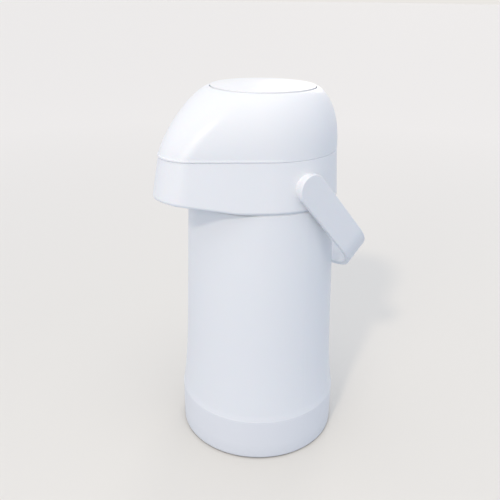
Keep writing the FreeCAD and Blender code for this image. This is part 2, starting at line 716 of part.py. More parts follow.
def round_lower_edge(block, radius):
    """Round the edge between the walls of a block and its downward faces."""
    down = []
    for face in block.Faces:
        u0, u1, v0, v1 = face.ParameterRange
        normal = face.normalAt((u0 + u1) / 2, (v0 + v1) / 2)
        if normal.z < -math.cos(math.radians(2 * BEAK_LIFT_ANGLE)):
            down.append(face)
    seen = []
    for face in down:
        seen.extend(face.Edges)
    rim = [edge for edge in seen if sum(edge.isSame(other) for other in seen) == 1]
    return block.makeFillet(radius, rim)


def make_head_housing():
    """Lower shell of the head: beak, collar, deck, screw sleeve, bosses and pivot bores."""
    low = RIM_Z - HEAD_WALL
    bevel_z = PART_LINE_Z - PART_LINE_BEVEL
    outer = head_prism(0.0, [
        (low, low, 0.0),
        (bevel_z, bevel_z, 0.0),
        (PART_LINE_Z, PART_LINE_Z, PART_LINE_BEVEL),
    ])
    outer = round_lower_edge(outer.cut(beak_lift()), RIM_ROUND)
    inside = head_prism(HEAD_WALL, [(low, low, 0.0), (PART_LINE_Z, PART_LINE_Z, 0.0)])
    shell = outer.cut(inside)

    lip_low = PART_LINE_Z - LIP_HEIGHT
    lip_top = PART_LINE_Z + LIP_HEIGHT
    lip_levels = [(PART_LINE_Z, PART_LINE_Z, 0.0), (lip_top, lip_top, 0.0)]
    lip_inset = HEAD_WALL + LIP_FIT
    lip = head_prism(lip_inset, lip_levels).cut(head_prism(lip_inset + LIP_WALL, lip_levels))
    root_levels = [(lip_low, lip_low, 0.0), (PART_LINE_Z, PART_LINE_Z, 0.0)]
    root = head_prism(HEAD_WALL, root_levels).cut(head_prism(lip_inset + LIP_WALL, root_levels))

    deck = inside.common(rod(FAR, DECK_Z, DECK_TOP_Z)).cut(rod(DECK_OPENING, DECK_Z, DECK_TOP_Z))
    front_room = Part.makeBox(2 * FAR, FAR, DECK, Vector(-FAR, -FAR - SLEEVE_RADIUS, DECK_Z))
    deck = deck.cut(front_room)
    sleeve = ring(SLEEVE_BORE, SLEEVE_RADIUS, RIM_Z + SLEEVE_RISE, DECK_Z)

    bosses = []
    for x, y in around(SEAT_SCREW_CIRCLE, SEAT_SCREW_ANGLES):
        bosses.append(rod(BOSS_RADIUS, DECK_TOP_Z, SEAT_Z, x, y))
    for x, y in around(STOPPER_SCREW_CIRCLE, STOPPER_SCREW_ANGLES):
        bosses.append(rod(BOSS_RADIUS, DECK_TOP_Z, DECK_TOP_Z + STOPPER_BOSS_HEIGHT, x, y))
    reach = BOSS_FACE - SLEEVE_BORE - SLEEVE_WALL / 2
    bores = []
    for side in (1, -1):
        start = Vector(side * (BOSS_FACE - reach), PIVOT_Y, PIVOT_Z)
        bosses.append(Part.makeCylinder(PIVOT_BOSS_RADIUS, reach, start, Vector(side, 0, 0)))
        bore_start = Vector(side * (STUD_END - STUD_END_FIT), PIVOT_Y, PIVOT_Z)
        depth = BOSS_FACE - STUD_END + 2 * STUD_END_FIT
        bores.append(Part.makeCylinder(STUD_RADIUS + STUD_FIT, depth, bore_start, Vector(side, 0, 0)))

    holes = [rod(SLEEVE_BORE, RIM_Z - FAR, DECK_Z)]
    for x, y in around(SEAT_SCREW_CIRCLE, SEAT_SCREW_ANGLES):
        holes.append(rod(SCREW_SHANK + PIN_FIT, SEAT_Z - SCREW_DEPTH, SEAT_Z, x, y))
    for x, y in around(STOPPER_SCREW_CIRCLE, STOPPER_SCREW_ANGLES):
        holes.append(rod(SCREW_SHANK + PIN_FIT, DECK_Z, DECK_Z + SCREW_DEPTH - STOPPER_FLANGE, x, y))
    return fuse([shell, root, lip, deck, sleeve] + bosses).cut(holes + bores)


def make_dome_cover():
    """Upper shell of the head with the round opening and guide of the button."""
    bevel_z = PART_LINE_Z + PART_LINE_BEVEL
    dome = dome_block(0.0, 0.0)
    block = dome.cut(rod(FAR, PART_LINE_Z - PART_LINE_BEVEL, bevel_z))
    edge_levels = [(PART_LINE_Z, PART_LINE_Z, PART_LINE_BEVEL), (bevel_z, bevel_z, 0.0)]
    shell = fuse([block, head_prism(0.0, edge_levels)]).cut(dome_block(HEAD_WALL, HEAD_WALL))
    guide = ring(BUTTON_OPENING, BUTTON_OPENING + GUIDE_WALL, GUIDE_BOTTOM_Z, DOME_TOP_Z)
    opening = rod(BUTTON_OPENING, PART_LINE_Z, DOME_TOP_Z + BUTTON_CROWN)
    return fuse([shell, guide.common(dome)]).cut(opening)


def make_push_button():
    """Crowned plate with a guided skirt, a catch round its foot and ribs inside."""
    edge = BUTTON_EDGE_ROUND
    slant = math.sqrt(0.5)
    rim_z = DOME_TOP_Z - edge
    shoulder = (BUTTON_RADIUS - edge, DOME_TOP_Z)
    skirt_bore = BUTTON_RADIUS - BUTTON_WALL
    under_edge = (skirt_bore, DOME_TOP_Z - BUTTON_WALL)
    catch = BUTTON_RADIUS + BUTTON_CATCH
    catch_z = SKIRT_BOTTOM_Z + BUTTON_CATCH_HEIGHT
    plate = turn([
        crown_arc(shoulder[0], DOME_TOP_Z, BUTTON_CROWN),
        arc(shoulder, (shoulder[0] + edge * slant, rim_z + edge * slant), (BUTTON_RADIUS, rim_z)),
        line((BUTTON_RADIUS, rim_z), (BUTTON_RADIUS, catch_z)),
        line((BUTTON_RADIUS, catch_z), (catch, catch_z)),
        line((catch, catch_z), (catch, SKIRT_BOTTOM_Z)),
        line((catch, SKIRT_BOTTOM_Z), (skirt_bore, SKIRT_BOTTOM_Z)),
        line((skirt_bore, SKIRT_BOTTOM_Z), under_edge),
        crown_arc(skirt_bore, under_edge[1], BUTTON_CROWN),
        line((0, BUTTON_TOP_Z - BUTTON_WALL), (0, BUTTON_TOP_Z)),
    ])
    half_wall = BUTTON_WALL / 2
    room_radius = BUTTON_RADIUS - half_wall
    room_edge_z = DOME_TOP_Z - half_wall
    room = turn([
        crown_arc(room_radius, room_edge_z, BUTTON_CROWN),
        line((room_radius, room_edge_z), (room_radius, CAP_TOP_Z)),
        line((room_radius, CAP_TOP_Z), (0, CAP_TOP_Z)),
        line((0, CAP_TOP_Z), (0, room_edge_z + BUTTON_CROWN)),
    ])
    inside = [ring(BUTTON_BOSS_RADIUS - BUTTON_WALL, BUTTON_BOSS_RADIUS, CAP_TOP_Z, BUTTON_TOP_Z)]
    rib_start = BUTTON_BOSS_RADIUS - half_wall
    for angle in evenly(BUTTON_RIBS):
        rib = Part.makeBox(room_radius - rib_start, BUTTON_RIB_WIDTH, BUTTON_TOP_Z - CAP_TOP_Z)
        rib.translate(Vector(rib_start, -BUTTON_RIB_WIDTH / 2, CAP_TOP_Z))
        rib.rotate(ORIGIN, AXIS, angle)
        inside.append(rib)
    return fuse([plate, fuse(inside).common(room)])


def valve_ports(plate, x, y, bottom, top):
    """Plate with the stem hole and the ring of ports of a mushroom valve."""
    holes = [rod(VALVE_STEM + PIN_FIT, bottom, top, x, y)]
    for dx, dy in around(PORT_CIRCLE, evenly(PORTS)):
        holes.append(rod(PORT_RADIUS, bottom, top, x + dx, y + dy))
    return plate.cut(holes)


def make_valve(y, seat_bottom, seat_top):
    """Rubber mushroom: a disc under its seat, a stem through it and a bulb above."""
    disc_z = seat_bottom - VALVE_DISC
    bulb_z = seat_top + VALVE_BULB_HEIGHT
    valve = turn_points([
        (0, disc_z),
        (VALVE_RADIUS, disc_z + VALVE_DISC / 2),
        (VALVE_RADIUS, seat_bottom),
        (VALVE_STEM, seat_bottom),
        (VALVE_STEM, seat_top),
        (VALVE_BULB, seat_top),
        (VALVE_STEM / 2, bulb_z),
        (0, bulb_z),
    ])
    valve.translate(Vector(0, y, 0))
    return valve


def make_bellows_seat():
    """Plate on four bosses that carries the bellows, with the air duct below it."""
    plate = rod(SEAT_RADIUS, SEAT_Z, SEAT_TOP_Z)
    parts = [plate, rod(DUCT_RADIUS, STOPPER_PLATE_TOP_Z + RING_FIT, SEAT_Z, 0, DUCT_Y)]
    holes = [rod(DUCT_BORE, STOPPER_PLATE_TOP_Z, SEAT_TOP_Z, 0, DUCT_Y)]
    for x, y in around(SEAT_SCREW_CIRCLE, SEAT_SCREW_ANGLES):
        parts.append(rod(BOSS_RADIUS, SEAT_Z, SEAT_TOP_Z, x, y))
        bridge = Part.makeBox(SEAT_SCREW_CIRCLE, 2 * BOSS_RADIUS, SEAT, Vector(0, -BOSS_RADIUS, SEAT_Z))
        bridge.rotate(ORIGIN, AXIS, math.degrees(math.atan2(y, x)))
        parts.append(bridge)
        holes.append(rod(SCREW_SHANK + PIN_FIT, SEAT_Z, SEAT_TOP_Z, x, y))
    return fuse(parts).cut(holes)


def make_bellows_clamp():
    """Ring over the foot bead of the bellows."""
    bead_top = SEAT_TOP_Z + BELLOWS_BEAD
    throat = BELLOWS_RADIUS + BELLOWS_WALL
    return turn_points([
        (CLAMP_BORE, SEAT_TOP_Z),
        (CLAMP_RADIUS, SEAT_TOP_Z),
        (CLAMP_RADIUS, CLAMP_TOP_Z),
        (throat, CLAMP_TOP_Z),
        (throat, bead_top),
        (CLAMP_BORE, bead_top),
    ])


def make_bellows():
    """Folded rubber wall between its foot bead and its top bead."""
    low = SEAT_TOP_Z + BELLOWS_BEAD
    high = BELLOWS_TOP_Z - BELLOWS_BEAD
    step = (high - low) / (2 * BELLOWS_FOLDS)
    outside = []
    for i in range(2 * BELLOWS_FOLDS + 1):
        radius = BELLOWS_ROOT if i % 2 == 0 else BELLOWS_RADIUS
        outside.append((radius, low + step * i))
    inside = [(radius - BELLOWS_WALL, z) for radius, z in reversed(outside)]
    foot = [(BELLOWS_ROOT - BELLOWS_WALL, SEAT_TOP_Z), (BELLOWS_BEAD_RADIUS, SEAT_TOP_Z), (BELLOWS_BEAD_RADIUS, low)]
    top = [(BELLOWS_ROOT, BELLOWS_TOP_Z), (BELLOWS_ROOT - BELLOWS_WALL, BELLOWS_TOP_Z)]
    return turn_points(foot + outside + top + inside)


def make_bellows_cap():
    """Plate in the top of the bellows, under the button, with the air intake."""
    plate = rod(CAP_RADIUS, BELLOWS_TOP_Z, CAP_TOP_Z)
    return valve_ports(plate, 0, 0, BELLOWS_TOP_Z, CAP_TOP_Z)


def make_return_spring():
    """Steel coil between the bellows' seat and its cap."""
    bottom = SEAT_TOP_Z + SPRING_WIRE + SPRING_FIT
    top = BELLOWS_TOP_Z - SPRING_WIRE - SPRING_FIT
    steps = int(SPRING_TURNS * SPRING_STEPS)
    points = []
    for i in range(steps + 1):
        angle = 2 * math.pi * i / SPRING_STEPS
        height = bottom + (top - bottom) * i / steps
        points.append(Vector(SPRING_RADIUS * math.cos(angle), SPRING_RADIUS * math.sin(angle), height))
    path = Part.BSplineCurve()
    path.interpolate(points)
    corners = []
    for i in range(SPRING_SIDES + 1):
        angle = 2 * math.pi * i / SPRING_SIDES
        corners.append(points[0] + Vector(math.cos(angle), 0, math.sin(angle)) * SPRING_WIRE)
    section = Part.makePolygon(corners)
    return Part.Wire(path.toShape()).makePipeShell([section], True, True)


def make_stopper():
    """Plug under the deck: flange, cup, tube socket, duct socket and air ports."""
    wall_bore = STOPPER_RADIUS - STOPPER_WALL
    cup = turn_points([
        (0, STOPPER_PLATE_Z),
        (STOPPER_RADIUS, STOPPER_PLATE_Z),
        (STOPPER_RADIUS, STOPPER_FLANGE_Z),
        (STOPPER_FLANGE_RADIUS, STOPPER_FLANGE_Z),
        (STOPPER_FLANGE_RADIUS, DECK_Z),
        (wall_bore, DECK_Z),
        (wall_bore, STOPPER_PLATE_TOP_Z),
        (0, STOPPER_PLATE_TOP_Z),
    ])
    socket = rod(SOCKET_RADIUS, SOCKET_BOTTOM_Z, SOCKET_TOP_Z)
    duct_socket = rod(
        DUCT_RADIUS + RING_FIT + DUCT_SOCKET_WALL,
        STOPPER_PLATE_TOP_Z,
        STOPPER_PLATE_TOP_Z + DUCT_SOCKET_HEIGHT,
        0,
        DUCT_Y,
    )
    holes = [
        rod(SOCKET_BORE, SOCKET_BOTTOM_Z, SOCKET_TOP_Z),
        rod(TUBE_RADIUS + GROMMET_WALL, SOCKET_BOTTOM_Z, SOCKET_BOTTOM_Z + GROMMET_HEIGHT),
        rod(DUCT_RADIUS + RING_FIT, STOPPER_PLATE_TOP_Z, STOPPER_PLATE_TOP_Z + DUCT_SOCKET_HEIGHT, 0, DUCT_Y),
    ]
    for x, y in around(STOPPER_SCREW_CIRCLE, STOPPER_SCREW_ANGLES):
        holes.append(rod(SCREW_SHANK + PIN_FIT, STOPPER_FLANGE_Z, DECK_Z, x, y))
    body = fuse([cup, socket, duct_socket]).cut(holes)
    return valve_ports(body, 0, DUCT_Y, STOPPER_PLATE_Z, STOPPER_PLATE_TOP_Z)


def make_stopper_seal():
    """Rubber ring under the stopper's plate, over the funnel's floor."""
    return ring(SEAL_INNER, SEAL_OUTER, SEAL_Z, STOPPER_PLATE_Z)


def make_dip_tube():
    """Straight tube with a slanted foot, just above the glass bottom."""
    foot_z = LINER_BOTTOM_Z + INNER_INSET + GLASS + TUBE_FOOT_GAP
    tube = ring(TUBE_BORE, TUBE_RADIUS, foot_z, TUBE_TOP_Z)
    wedge = Part.makeBox(FAR, FAR, FAR, Vector(-FAR / 2, -FAR / 2, -FAR))
    wedge.rotate(ORIGIN, Vector(1, 0, 0), TUBE_CUT_ANGLE)
    wedge.translate(Vector(0, 0, foot_z + TUBE_RADIUS * math.tan(math.radians(TUBE_CUT_ANGLE))))
    return tube.cut(wedge)


def make_tube_grommet():
    """Rubber ring that grips the dip tube in the foot of its socket."""
    return ring(TUBE_RADIUS, TUBE_RADIUS + GROMMET_WALL, SOCKET_BOTTOM_Z, SOCKET_BOTTOM_Z + GROMMET_HEIGHT)


def make_check_ball():
    """Ball that lies on the dip tube's rim and shuts the pipe when the pot tips."""
    lift = math.sqrt(BALL_RADIUS ** 2 - TUBE_BORE ** 2)
    return Part.makeSphere(BALL_RADIUS, Vector(0, 0, TUBE_TOP_Z + lift + BALL_FIT))


def pipe_sweep(radius):
    """Round bar along the outlet: up from the socket, forward and down to the nozzle."""
    start = Vector(0, 0, SOCKET_TOP_Z - PIPE_INSERT)
    slant = PIPE_BEND * (1 - math.sqrt(0.5))
    edges = [
        Part.makeLine(start, Vector(0, 0, PIPE_Z - PIPE_BEND)),
        Part.Arc(
            Vector(0, 0, PIPE_Z - PIPE_BEND),
            Vector(0, -slant, PIPE_Z - slant),
            Vector(0, -PIPE_BEND, PIPE_Z),
        ).toShape(),
        Part.makeLine(Vector(0, -PIPE_BEND, PIPE_Z), Vector(0, NOZZLE_Y + PIPE_BEND, PIPE_Z)),
        Part.Arc(
            Vector(0, NOZZLE_Y + PIPE_BEND, PIPE_Z),
            Vector(0, NOZZLE_Y + slant, PIPE_Z - slant),
            Vector(0, NOZZLE_Y, PIPE_Z - PIPE_BEND),
        ).toShape(),
        Part.makeLine(Vector(0, NOZZLE_Y, PIPE_Z - PIPE_BEND), Vector(0, NOZZLE_Y, PIPE_END_Z)),
    ]
    section = Part.Wire(Part.makeCircle(radius, start, AXIS))
    return Part.Wire(edges).makePipeShell([section], True, True)


def make_outlet_pipe():
    """Bent pipe from the stopper's socket to the nozzle."""
    return pipe_sweep(PIPE_RADIUS).cut(pipe_sweep(PIPE_BORE))


def make_spout_nozzle():
    """Tapered nozzle through the beak's cover, round the end of the pipe."""
    bore = PIPE_RADIUS + TUBE_FIT
    flange_z = BEAK_COVER_TOP_Z
    nozzle = turn_points([
        (PIPE_BORE, NOZZLE_TIP_Z),
        (NOZZLE_TIP_RADIUS, NOZZLE_TIP_Z),
        (NOZZLE_RADIUS, BEAK_COVER_Z),
        (NOZZLE_RADIUS, flange_z),
        (NOZZLE_FLANGE_RADIUS, flange_z),
        (NOZZLE_FLANGE_RADIUS, flange_z + NOZZLE_FLANGE),
        (NOZZLE_RADIUS, flange_z + NOZZLE_FLANGE),
        (NOZZLE_RADIUS, NOZZLE_TOP_Z),
        (bore, NOZZLE_TOP_Z),
        (bore, PIPE_END_Z - TUBE_FIT),
        (PIPE_BORE, PIPE_END_Z - TUBE_FIT),
    ])
    nozzle.translate(Vector(0, NOZZLE_Y, 0))
    return nozzle


def make_beak_cover():
    """Plate inside the lower edge of the beak, with the nozzle's hole."""
    top = BEAK_COVER_TOP_Z
    levels = [(BEAK_COVER_Z, BEAK_COVER_Z, 0.0), (top, top, 0.0)]
    plate = head_prism(HEAD_WALL + RING_FIT, levels)
    plate = plate.cut(rod(SLEEVE_RADIUS + RING_FIT, BEAK_COVER_Z, top))
    plate = plate.cut(rod(NOZZLE_RADIUS + RING_FIT, BEAK_COVER_Z, top, 0, NOZZLE_Y))
    return plate.cut(Part.makeBox(2 * FAR, FAR, BEAK_COVER, Vector(-FAR, -BEAK_COVER_BACK, BEAK_COVER_Z)))


def screw(x, y, seat_z, down):
    """Slotted pan screw with its head on a seat and its shank into the part behind."""
    way = -1 if down else 1
    shank = Part.makeCylinder(SCREW_SHANK, SCREW_DEPTH, Vector(0, 0, 0), Vector(0, 0, way))
    head = Part.makeCylinder(SCREW_HEAD, SCREW_HEAD_HEIGHT, Vector(0, 0, 0), Vector(0, 0, -way))
    slot_z = -way * SCREW_HEAD_HEIGHT - SCREW_SLOT / 2
    slot = Part.makeBox(2 * SCREW_HEAD, SCREW_SLOT, SCREW_SLOT, Vector(-SCREW_HEAD, -SCREW_SLOT / 2, slot_z))
    made = fuse([shank, head]).cut(slot)
    made.translate(Vector(x, y, seat_z))
    return made


def make_seat_screws():
    """Four screws down through the bellows' seat into the housing's bosses."""
    places = around(SEAT_SCREW_CIRCLE, SEAT_SCREW_ANGLES)
    return Part.makeCompound([screw(x, y, SEAT_TOP_Z, True) for x, y in places])


def make_stopper_screws():
    """Three screws up through the stopper's flange into the deck."""
    places = around(STOPPER_SCREW_CIRCLE, STOPPER_SCREW_ANGLES)
    return Part.makeCompound([screw(x, y, STOPPER_FLANGE_Z, False) for x, y in places])


def hang_angle():
    """Angle in degrees between the hanging handle and straight down, where it nears the jacket."""
    low, high = 0.0, 90.0
    half = STRAP_WIDTH / 2
    gap = HANDLE_REST_GAP - STRAP_EDGE_ROUND * (math.sqrt(2) - 1)
    for _ in range(40):
        angle = math.radians((low + high) / 2)
        back = PIVOT_Y + HANDLE_REACH * math.sin(angle) - half * math.cos(angle)
        height = PIVOT_Z - HANDLE_REACH * math.cos(angle) - half * math.sin(angle)
        if back < jacket_radius(height) + gap:
            low = math.degrees(angle)
        else:
            high = math.degrees(angle)
    return high


def strap_outline(half_span, rise):
    """Wire of half a bail in the XZ plane: two arms down to an arch, closed at the pivots' level."""
    level = STRAP_WIDTH
    bottom = -ARM_STRAIGHT
    centre = Vector(0, 0, bottom)
    side = centre + Vector(half_span, 0, 0)
    end = centre + Vector(0, 0, -rise)
    edges = [
        ellipse_arc(centre, side, end, 0, math.pi),
        Part.makeLine(Vector(-half_span, 0, bottom), Vector(-half_span, 0, level)),
        Part.makeLine(Vector(-half_span, 0, level), Vector(half_span, 0, level)),
        Part.makeLine(Vector(half_span, 0, level), Vector(half_span, 0, bottom)),
    ]
    return Part.Wire(Part.__sortEdges__(edges))


def make_bail_handle():
    """Flat strap bent to an arch, with round ends and studs, hung back against the jacket."""
    half = STRAP_WIDTH / 2
    outer = Part.Face(strap_outline(STRAP_OUTER, ARCH_RISE + STRAP))
    inner = Part.Face(strap_outline(STRAP_INNER, ARCH_RISE))
    band = outer.cut(inner).extrude(Vector(0, STRAP_WIDTH, 0))
    band.translate(Vector(0, -half, 0))
    round_end = Part.makeCylinder(half, 2 * FAR, Vector(-FAR, 0, 0), Vector(1, 0, 0))
    below = Part.makeBox(2 * FAR, STRAP_WIDTH, FAR, Vector(-FAR, -half, -FAR))
    strap = band.common(fuse([round_end, below]))
    strap = strap.makeFillet(STRAP_EDGE_ROUND, strap_edges(strap))
    studs = []
    for side in (1, -1):
        start = Vector(side * (STRAP_INNER + STRAP / 2), 0, 0)
        studs.append(Part.makeCylinder(STUD_RADIUS, STUD_LENGTH + STRAP / 2, start, Vector(-side, 0, 0)))
    handle = fuse([strap] + studs)
    handle.rotate(ORIGIN, Vector(1, 0, 0), hang_angle())
    handle.translate(Vector(0, PIVOT_Y, PIVOT_Z))
    return handle


def strap_edges(strap):
    """Long edges of the strap: those between its broad faces and its narrow sides."""
    chosen = []
    for edge in strap.Edges:
        box = edge.BoundBox
        if box.XLength > STRAP or box.ZLength > STRAP or box.YLength > STRAP:
            chosen.append(edge)
    return [edge for edge in chosen if not crosses_strap(edge)]


def crosses_strap(edge):
    """Whether an edge only marks where a flat arm meets the arch or its round end."""
    box = edge.BoundBox
    return abs(box.YLength - STRAP_WIDTH) < STRAP_EDGE_ROUND and box.ZLength < STRAP_EDGE_ROUND


PIECES = {
    "base_cup": make_base_cup,
    "jacket": make_jacket,
    "liner_outer_glass": make_liner_outer_glass,
    "liner_inner_glass": make_liner_inner_glass,
    "liner_inner_bottom": make_liner_inner_bottom,
    "liner_inner_shoulder": make_liner_inner_shoulder,
    "liner_inner_neck": make_liner_inner_neck,
    "liner_cushion": make_liner_cushion,
    "neck_gasket": make_neck_gasket,
    "neck_ring": make_neck_ring,
    "head_housing": make_head_housing,
    "dome_cover": make_dome_cover,
    "push_button": make_push_button,
    "bellows_seat": make_bellows_seat,
    "bellows_clamp": make_bellows_clamp,
    "bellows": make_bellows,
    "bellows_cap": make_bellows_cap,
    "return_spring": make_return_spring,
    "intake_valve": lambda: make_valve(0.0, BELLOWS_TOP_Z, CAP_TOP_Z),
    "stopper": make_stopper,
    "stopper_seal": make_stopper_seal,
    "air_valve": lambda: make_valve(DUCT_Y, STOPPER_PLATE_Z, STOPPER_PLATE_TOP_Z),
    "dip_tube": make_dip_tube,
    "tube_grommet": make_tube_grommet,
    "check_ball": make_check_ball,
    "outlet_pipe": make_outlet_pipe,
    "spout_nozzle": make_spout_nozzle,
    "beak_cover": make_beak_cover,
    "seat_screws": make_seat_screws,
    "stopper_screws": make_stopper_screws,
    "bail_handle": make_bail_handle,
}


def main():
    """Build every piece and write it as its own file."""
    os.makedirs("parts", exist_ok=True)
    for name, make in PIECES.items():
        shape = make()
        shape.exportStep(os.path.join("parts", name + ".step"))
        print(name, len(shape.Solids), round(shape.Volume, 1), shape.isValid())


main()
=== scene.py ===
"""Looks of a household pump pot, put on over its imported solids."""

import logging
import math
from dataclasses import dataclass, field
from enum import Enum
from typing import Any, Optional, Sequence

import bmesh
import bpy
from mathutils import Matrix, Vector


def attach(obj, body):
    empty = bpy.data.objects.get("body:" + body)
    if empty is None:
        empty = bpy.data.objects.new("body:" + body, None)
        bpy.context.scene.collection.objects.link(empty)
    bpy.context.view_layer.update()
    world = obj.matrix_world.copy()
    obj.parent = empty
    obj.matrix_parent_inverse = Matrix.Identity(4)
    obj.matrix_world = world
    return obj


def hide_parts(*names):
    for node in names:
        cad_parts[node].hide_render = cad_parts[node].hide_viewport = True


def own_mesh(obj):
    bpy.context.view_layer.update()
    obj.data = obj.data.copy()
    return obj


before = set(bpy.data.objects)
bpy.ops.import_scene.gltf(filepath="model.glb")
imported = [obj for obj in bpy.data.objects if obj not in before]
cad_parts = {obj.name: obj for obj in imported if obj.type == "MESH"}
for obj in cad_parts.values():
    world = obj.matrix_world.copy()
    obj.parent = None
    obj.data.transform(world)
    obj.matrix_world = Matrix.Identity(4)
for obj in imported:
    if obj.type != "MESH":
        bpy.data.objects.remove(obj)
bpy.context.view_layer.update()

MM = 0.001
FULL_TURN = 2.0 * math.pi
LOG = logging.getLogger("pump_pot")

# Edges that turn by more than this stay crisp.
CRISP_DEG = 40.0

# Points round a turned piece, round the bellows, along a rounding, along a thread's turn, up the
# base's seam, over the button's crown, round its edge, along a coil's turn and round its wire.
LATHE_STEPS = 180
BELLOWS_STEPS = 120
ROUNDING_STEPS = 4
THREAD_STEPS = 72
SEAM_STEPS = 16
CROWN_STEPS = 48
EDGE_STEPS = 5
COIL_STEPS = 40
WIRE_STEPS = 12

# Points round the back and round the nose of the head's outline.
BACK_STEPS = 120
NOSE_STEPS = 60

# Share of a profile's side that a rounding may take up.
ROUNDING_ROOM = 0.45

# Finer layers in each noise, the range where most of a noise's values lie, and how much finer
# the handling marks are than the smears.
MOTTLE_DETAIL = 3.0
SMEAR_DETAIL = 5.0
MARK_DETAIL = 6.0
GRAIN_DETAIL = 2.0
RIPPLE_DETAIL = 1.0
NOISE_LOW = 0.3
NOISE_HIGH = 0.7
MARKS_PER_SMEAR = 4


def linear(colour: str) -> tuple[float, float, float, float]:
    """Turn an sRGB hex colour into the linear colour that a shader takes.

    Args:
        colour: six hex digits after a hash sign.

    Returns:
        Linear red, green and blue, and an alpha of 1.
    """
    parts = [int(colour[i:i + 2], 16) / 255.0 for i in (1, 3, 5)]
    red, green, blue = [
        part / 12.92 if part <= 0.04045 else ((part + 0.055) / 1.055) ** 2.4
        for part in parts
    ]
    return red, green, blue, 1.0


def add_node(
    tree: bpy.types.NodeTree, kind: str, inputs: dict[Any, Any], **settings: Any
) -> bpy.types.Node:
    """Add a node, with its settings, its input values and its links.

    Args:
        tree: node tree that gets the node.
        kind: node class name.
        inputs: socket name, or its number, to a value or to an output socket that feeds it.
        settings: node properties by name.

    Returns:
        The new node.
    """
    node = tree.nodes.new(kind)
    for name, value in settings.items():
        setattr(node, name, value)
    for name, value in inputs.items():
        if isinstance(value, bpy.types.NodeSocket):
            tree.links.new(value, node.inputs[name])
        else:
            node.inputs[name].default_value = value
    return node


class Process(Enum):
    """How a surface was made, as the stretch of its texture along X, Y and Z."""

    MOULDED = (1.0, 1.0, 1.0)
    EXTRUDED = (1.0, 1.0, 0.05)
    DRAWN = (1.0, 1.0, 0.25)
    BLOWN = (1.0, 1.0, 0.4)


@dataclass(frozen=True)
class ScuffAndContactShade:
    """Handling marks that gather up to a height above the table, and a dark grey painted
    contact shade on the lowest edge.

    Attributes:
        top_mm: height where the marks have faded out.
        colour: sRGB hex colour of the marked surface.
        contact_shade_mm: height of the painted contact shade, a dark grey band on the lowest edge
            that stands in for the shadow where the foot meets the table.
        contact_shade_colour: sRGB hex colour of that painted shade.
    """

    top_mm: float
    colour: str
    contact_shade_mm: float
    contact_shade_colour: str


